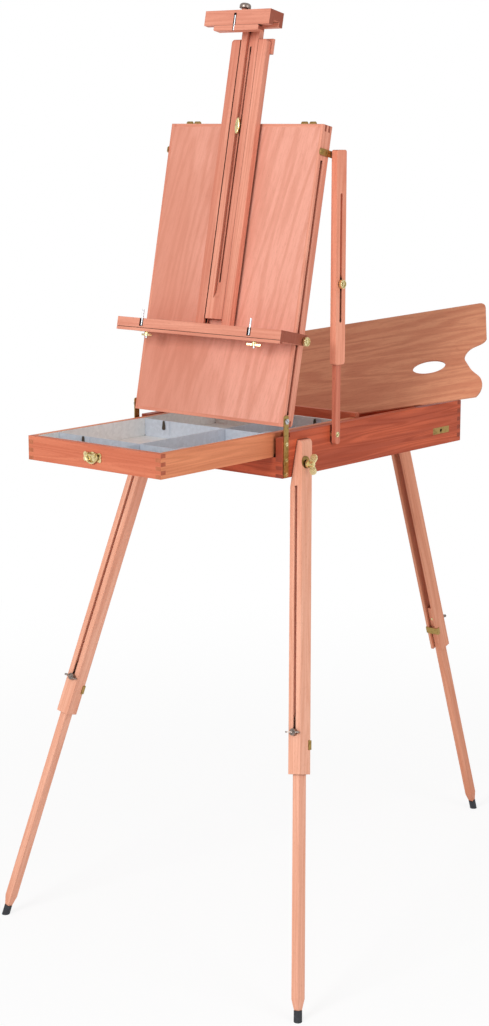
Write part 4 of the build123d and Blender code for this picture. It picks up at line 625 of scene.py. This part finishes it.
class EASEL_OT_box_finish(bpy.types.Operator):
    """Oils the box and its floor"""

    bl_idname = "easel.box_finish"
    bl_label = "Box finish"

    def execute(self, context):
        wood = context.scene.easel_wood
        tones = (wood.box_light, wood.box_dark)
        veneer = (wood.panel_light, wood.panel_dark)
        lengthways = oiled_wood("Oiled beech, box sides", *tones, FRONT_TO_BACK, figure=1.1)
        crossways = oiled_wood("Oiled beech, box ends", *tones, ACROSS, figure=1.1)
        sheet = peeled_veneer("Birch plywood, box floor", *veneer, ACROSS, face=UPRIGHT, ply=FLOOR_PLY)
        put_on(lengthways, "box_side_right", "box_side_left", "drawer_runners", "rear_hinge_cheeks")
        put_on(crossways, "box_ends")
        put_on(sheet, "box_floor")
        return {"FINISHED"}


class EASEL_OT_drawer_finish(bpy.types.Operator):
    """Oils the drawer and its floor"""

    bl_idname = "easel.drawer_finish"
    bl_label = "Drawer finish"

    def execute(self, context):
        wood = context.scene.easel_wood
        side_tones = (wood.runner_light, wood.runner_dark)
        end_tones = (wood.drawer_light, wood.drawer_dark)
        veneer = (wood.panel_light, wood.panel_dark)
        lengthways = oiled_wood("Oiled beech, drawer sides", *side_tones, FRONT_TO_BACK, soak=0.5)
        crossways = oiled_wood("Oiled beech, drawer ends", *end_tones, ACROSS, soak=0.5)
        sheet = peeled_veneer("Birch plywood, drawer floor", *veneer, ACROSS, face=UPRIGHT, ply=FLOOR_PLY)
        put_on(lengthways, "drawer_sides")
        put_on(crossways, "drawer_front", "drawer_back")
        put_on(sheet, "drawer_bottom")
        return {"FINISHED"}


class EASEL_OT_lid_finish(bpy.types.Operator):
    """Oils the lid, the mast, the ledge and the stays"""

    bl_idname = "easel.lid_finish"
    bl_label = "Lid, mast and stay finish"

    def execute(self, context):
        wood = context.scene.easel_wood
        tones = (wood.lid_light, wood.lid_dark)
        veneer = (wood.panel_light, wood.panel_dark)
        outward = ACROSS.cross(LEAN)
        slanted = (LEAN + PANEL_SLANT * ACROSS).normalized()
        upward = oiled_wood("Oiled beech, lid and mast", *tones, LEAN, figure=1.25)
        crossways = oiled_wood("Oiled beech, rails and ledge", *tones, ACROSS)
        panel = peeled_veneer(
            "Beech plywood, lid panel", *veneer, slanted, face=outward, ply=THIN_PLY, heart=HEART_SHARE
        )
        put_on(upward, "lid_stiles", "mast_frame", "mast_bar")
        put_on(crossways, "lid_rails", "clamp_block", "clamp_lip", "ledge_board")
        put_on(panel, "lid_panel")
        for side, run in STAY_RUN.items():
            arm = oiled_wood(f"Oiled beech, {side} stay", wood.stay_light, wood.stay_dark, run)
            # The lower bar's darker colours are painted shade.
            strut = oiled_wood(f"Oiled beech, {side} lower stay in painted shade", wood.strut_light_shaded, wood.strut_dark_shaded, run)
            put_on(arm, f"stay_upper_{side}")
            put_on(strut, f"stay_lower_{side}")
        return {"FINISHED"}


class EASEL_OT_leg_finish(bpy.types.Operator):
    """Oils the three legs and blackens their feet"""

    bl_idname = "easel.leg_finish"
    bl_label = "Leg finish"

    def execute(self, context):
        wood = context.scene.easel_wood
        front = (wood.leg_light, wood.leg_dark)
        tones = {"right": front, "left": front, "rear": (wood.rear_light, wood.rear_dark)}
        for leg, run in LEG_RUN.items():
            rail = oiled_wood(f"Oiled beech, {leg} leg", *tones[leg], run, figure=0.9)
            put_on(rail, f"leg_upper_{leg}", f"leg_lower_{leg}")
        put_on(moulded_rubber("Moulded black rubber"), *(f"leg_foot_{leg}" for leg in LEG_RUN))
        return {"FINISHED"}


class EASEL_OT_palette_finish(bpy.types.Operator):
    """Varnishes the plywood palette"""

    bl_idname = "easel.palette_finish"
    bl_label = "Palette finish"

    def execute(self, context):
        wood = context.scene.easel_wood
        tones = (wood.palette_light, wood.palette_dark)
        face = joint_direction("leg_fold_rear").cross(PALETTE_RUN).normalized()
        sheet = peeled_veneer(
            "Varnished palette plywood", *tones, PALETTE_RUN, face=face, ply=THIN_PLY, sheen=0.4
        )
        put_on(sheet, "palette")
        return {"FINISHED"}


class EASEL_OT_metal_finish(bpy.types.Operator):
    """Gives the brass, steel, zinc and cast fittings their metal"""

    bl_idname = "easel.metal_finish"
    bl_label = "Metal finish"

    def execute(self, context):
        metal = context.scene.easel_metal
        plate = cast_metal("Stamped brass sheet", metal.sheet, metal.sheet_dull, rough=0.34, pits=0.1)
        knob = cast_metal(
            "Pewter-grey casting", metal.knob, shaded(metal.knob, DULL_CASTING), rough=0.35
        )
        finishes = {
            "brass": cast_metal("Lacquered cast brass", metal.brass, metal.brass_dull, rough=0.26),
            "steel": cast_metal(
                "Zinc-plated steel", metal.steel, shaded(metal.steel, DULL_STEEL), rough=0.3, pits=0.15
            ),
            "dark_metal": cast_metal(
                "Darkened steel", metal.dark, shaded(metal.dark, DULL_CASTING), rough=0.38
            ),
            "knob_grey": knob,
            "zinc": galvanised_sheet("Galvanised sheet", metal.zinc),
        }
        for part in frame["record"]["subparts"]:
            if part["material_slot"] in finishes:
                put_on(finishes[part["material_slot"]], part["node"])
        put_on(galvanised_sheet("Greyer galvanised sheet", metal.divider), "tray_dividers")
        put_on(knob, *(f"leg_clamp_{leg}" for leg in LEG_RUN))
        put_on(plate, "box_brass_plates", "lid_fittings")
        put_on(plate, "leg_fittings_right", "leg_fittings_left", "leg_strap_rear")
        return {"FINISHED"}


class EASEL_OT_stage(bpy.types.Operator):
    """Lays the floor, hangs the lamps and sets the camera"""

    bl_idname = "easel.stage"
    bl_label = "Floor, lamps and camera"

    def execute(self, context):
        lay_floor(context)
        light_room(context)
        hang_lamps(context)
        set_camera(context)
        context.scene.view_settings.view_transform = "Standard"
        return {"FINISHED"}


def disc(name, radius):
    """A flat disc: points at radius r and angle a are (r cos a, r sin a, 0). The radii go up as squares,
    which packs the rings near the middle. Triangles fill the first ring, and four-sided faces the others.
    """
    angles = np.linspace(0.0, math.tau, FLOOR_SPOKES, endpoint=False)
    radii = radius * np.linspace(0.0, 1.0, FLOOR_RINGS + 1)[1:] ** 2
    ring_radius, ring_angle = np.meshgrid(radii, angles, indexing="ij")
    x = ring_radius * np.cos(ring_angle)
    y = ring_radius * np.sin(ring_angle)
    rings = np.stack((x, y, np.zeros_like(x)), axis=-1)
    points = np.concatenate((np.zeros((1, 3)), rings.reshape(-1, 3)))
    spoke = np.arange(FLOOR_SPOKES)
    following = np.roll(spoke, -1)
    middle = np.stack((np.zeros_like(spoke), 1 + spoke, 1 + following), axis=-1)
    inner = 1 + FLOOR_SPOKES * np.arange(FLOOR_RINGS - 1)[:, None]
    outer = inner + FLOOR_SPOKES
    quads = np.stack((inner + spoke, outer + spoke, outer + following, inner + following), axis=-1)
    mesh = bpy.data.meshes.new(name)
    mesh.from_pydata(points.tolist(), [], middle.tolist() + quads.reshape(-1, 4).tolist())
    return mesh


def pale_floor(name, pale):
    """Matt pale paint that keeps the object's shadow near the feet and fades into the white of the room
    with distance. The white is only what the eye, glossy surfaces and clear ones see.
    """
    material, tree = bare_material(name)
    matt = add(tree, "ShaderNodeBsdfDiffuse", {"Color": opaque(pale), "Roughness": 0.6})
    white = add(tree, "ShaderNodeEmission", {"Color": opaque(WHITE), "Strength": ROOM_WHITE})
    place = add(tree, "ShaderNodeTexCoord")
    distance = add(tree, "ShaderNodeVectorMath", {0: place.outputs["Object"]}, operation="LENGTH")
    far = marks_in(tree, distance.outputs["Value"], FLOOR_FADE)
    near_white, far_white = FLOOR_WHITE
    share = add(
        tree, "ShaderNodeMapRange",
        {"Value": far, "From Min": 0.0, "From Max": 1.0, "To Min": near_white, "To Max": far_white},
    )
    eye = add(tree, "ShaderNodeLightPath")
    shown = add(
        tree, "ShaderNodeMath",
        {0: eye.outputs["Is Camera Ray"], 1: eye.outputs["Is Glossy Ray"]},
        operation="MAXIMUM",
    )
    seen = add(
        tree, "ShaderNodeMath",
        {0: shown.outputs[0], 1: eye.outputs["Is Transmission Ray"]},
        operation="MAXIMUM",
    )
    amount = add(
        tree, "ShaderNodeMath", {0: seen.outputs[0], 1: share.outputs["Result"]}, operation="MULTIPLY"
    )
    blend = add(
        tree, "ShaderNodeMixShader", {0: amount.outputs[0], 1: matt.outputs[0], 2: white.outputs[0]}
    )
    add(tree, "ShaderNodeOutputMaterial", {"Surface": blend.outputs[0]})
    return material


def lay_floor(context):
    """The floor under the feet, which belongs to the stage and not to the easel."""
    stage = context.scene.easel_stage
    mesh = disc("floor", stage.floor_radius)
    mesh.materials.append(pale_floor("Pale floor", stage.floor))
    floor = bpy.data.objects.new("floor", mesh)
    context.scene.collection.objects.link(floor)


def light_room(context):
    """The room: white to the eye, a little less so in what shines, and a soft grey light elsewhere."""
    world = context.scene.world or bpy.data.worlds.new("Studio")
    context.scene.world = world
    world.use_nodes = True
    tree = world.node_tree
    tree.nodes.clear()
    eye = add(tree, "ShaderNodeLightPath")
    seen = add(
        tree, "ShaderNodeMath",
        {0: eye.outputs["Is Camera Ray"], 1: eye.outputs["Is Transmission Ray"]},
        operation="MAXIMUM",
    )
    soft, shine, white = (
        add(tree, "ShaderNodeBackground", {"Color": opaque(WHITE), "Strength": strength}).outputs[0]
        for strength in (ROOM_SOFT, ROOM_SHINE, ROOM_WHITE)
    )
    unseen = add(tree, "ShaderNodeMixShader", {0: eye.outputs["Is Glossy Ray"], 1: soft, 2: shine})
    blend = add(tree, "ShaderNodeMixShader", {0: seen.outputs[0], 1: unseen.outputs[0], 2: white})
    add(tree, "ShaderNodeOutputWorld", {"Surface": blend.outputs[0]})


def hang_lamps(context):
    """Two soft square lamps: the main one high in front, and a weaker one at the right."""
    for name, (place, power) in LAMPS.items():
        light = bpy.data.lights.new(name, "AREA")
        light.energy = power
        light.shape = "SQUARE"
        light.size = context.scene.easel_stage.lamp_size
        lamp = bpy.data.objects.new(name, light)
        lamp.location = place
        lamp.rotation_mode = "QUATERNION"
        lamp.rotation_quaternion = (LAMP_TARGET - place).to_track_quat("-Z", "Y")
        context.scene.collection.objects.link(lamp)


def set_camera(context):
    """The photograph's eye: its place from the box's front edge, the way it looks, and its lens."""
    view = bpy.data.cameras.new("photo_view")
    view.sensor_width = VIEW_SENSOR
    view.lens = VIEW_LENS
    view.clip_end = VIEW_REACH
    camera = bpy.data.objects.new("photo_view", view)
    level = math.cos(VIEW_ELEVATION)
    ahead = math.cos(VIEW_AZIMUTH) * level
    leftward = math.sin(VIEW_AZIMUTH) * level
    look = Vector((-leftward, ahead, -math.sin(VIEW_ELEVATION)))
    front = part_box("box_side_right")[0]
    camera.location = VIEW_FROM_BOX + Vector((0.0, front.y, front.z))
    camera.rotation_mode = "QUATERNION"
    camera.rotation_quaternion = look.to_track_quat("-Z", "Y")
    context.scene.collection.objects.link(camera)
    context.scene.camera = camera


OPERATORS = (
    EASEL_OT_box_finish,
    EASEL_OT_drawer_finish,
    EASEL_OT_lid_finish,
    EASEL_OT_leg_finish,
    EASEL_OT_palette_finish,
    EASEL_OT_metal_finish,
    EASEL_OT_stage,
)
SETTINGS = {
    "easel_wood": WoodSettings,
    "easel_metal": MetalSettings,
    "easel_stage": StageSettings,
}


class EASEL_PT_panel(bpy.types.Panel):
    """Lists the easel's finishes and stage in the sidebar"""

    bl_idname = "EASEL_PT_panel"
    bl_label = "Sketch box easel"
    bl_space_type = "VIEW_3D"
    bl_region_type = "UI"
    bl_category = "Easel"

    def draw(self, context):
        for step in OPERATORS:
            self.layout.operator(step.bl_idname)
        for name, group in SETTINGS.items():
            box = self.layout.box()
            for prop in group.__annotations__:
                box.prop(getattr(context.scene, name), prop)


def register():
    for group in SETTINGS.values():
        bpy.utils.register_class(group)
    for name, group in SETTINGS.items():
        setattr(bpy.types.Scene, name, PointerProperty(type=group))
    for step in (*OPERATORS, EASEL_PT_panel):
        bpy.utils.register_class(step)


def unregister():
    for step in (EASEL_PT_panel, *reversed(OPERATORS)):
        bpy.utils.unregister_class(step)
    for name, group in SETTINGS.items():
        delattr(bpy.types.Scene, name)
        bpy.utils.unregister_class(group)


def main():
    """Registers the add-on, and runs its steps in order."""
    register()
    for step in OPERATORS:
        group, name = step.bl_idname.split(".")
        getattr(getattr(bpy.ops, group), name)()


if __name__ == "__main__":
    main()
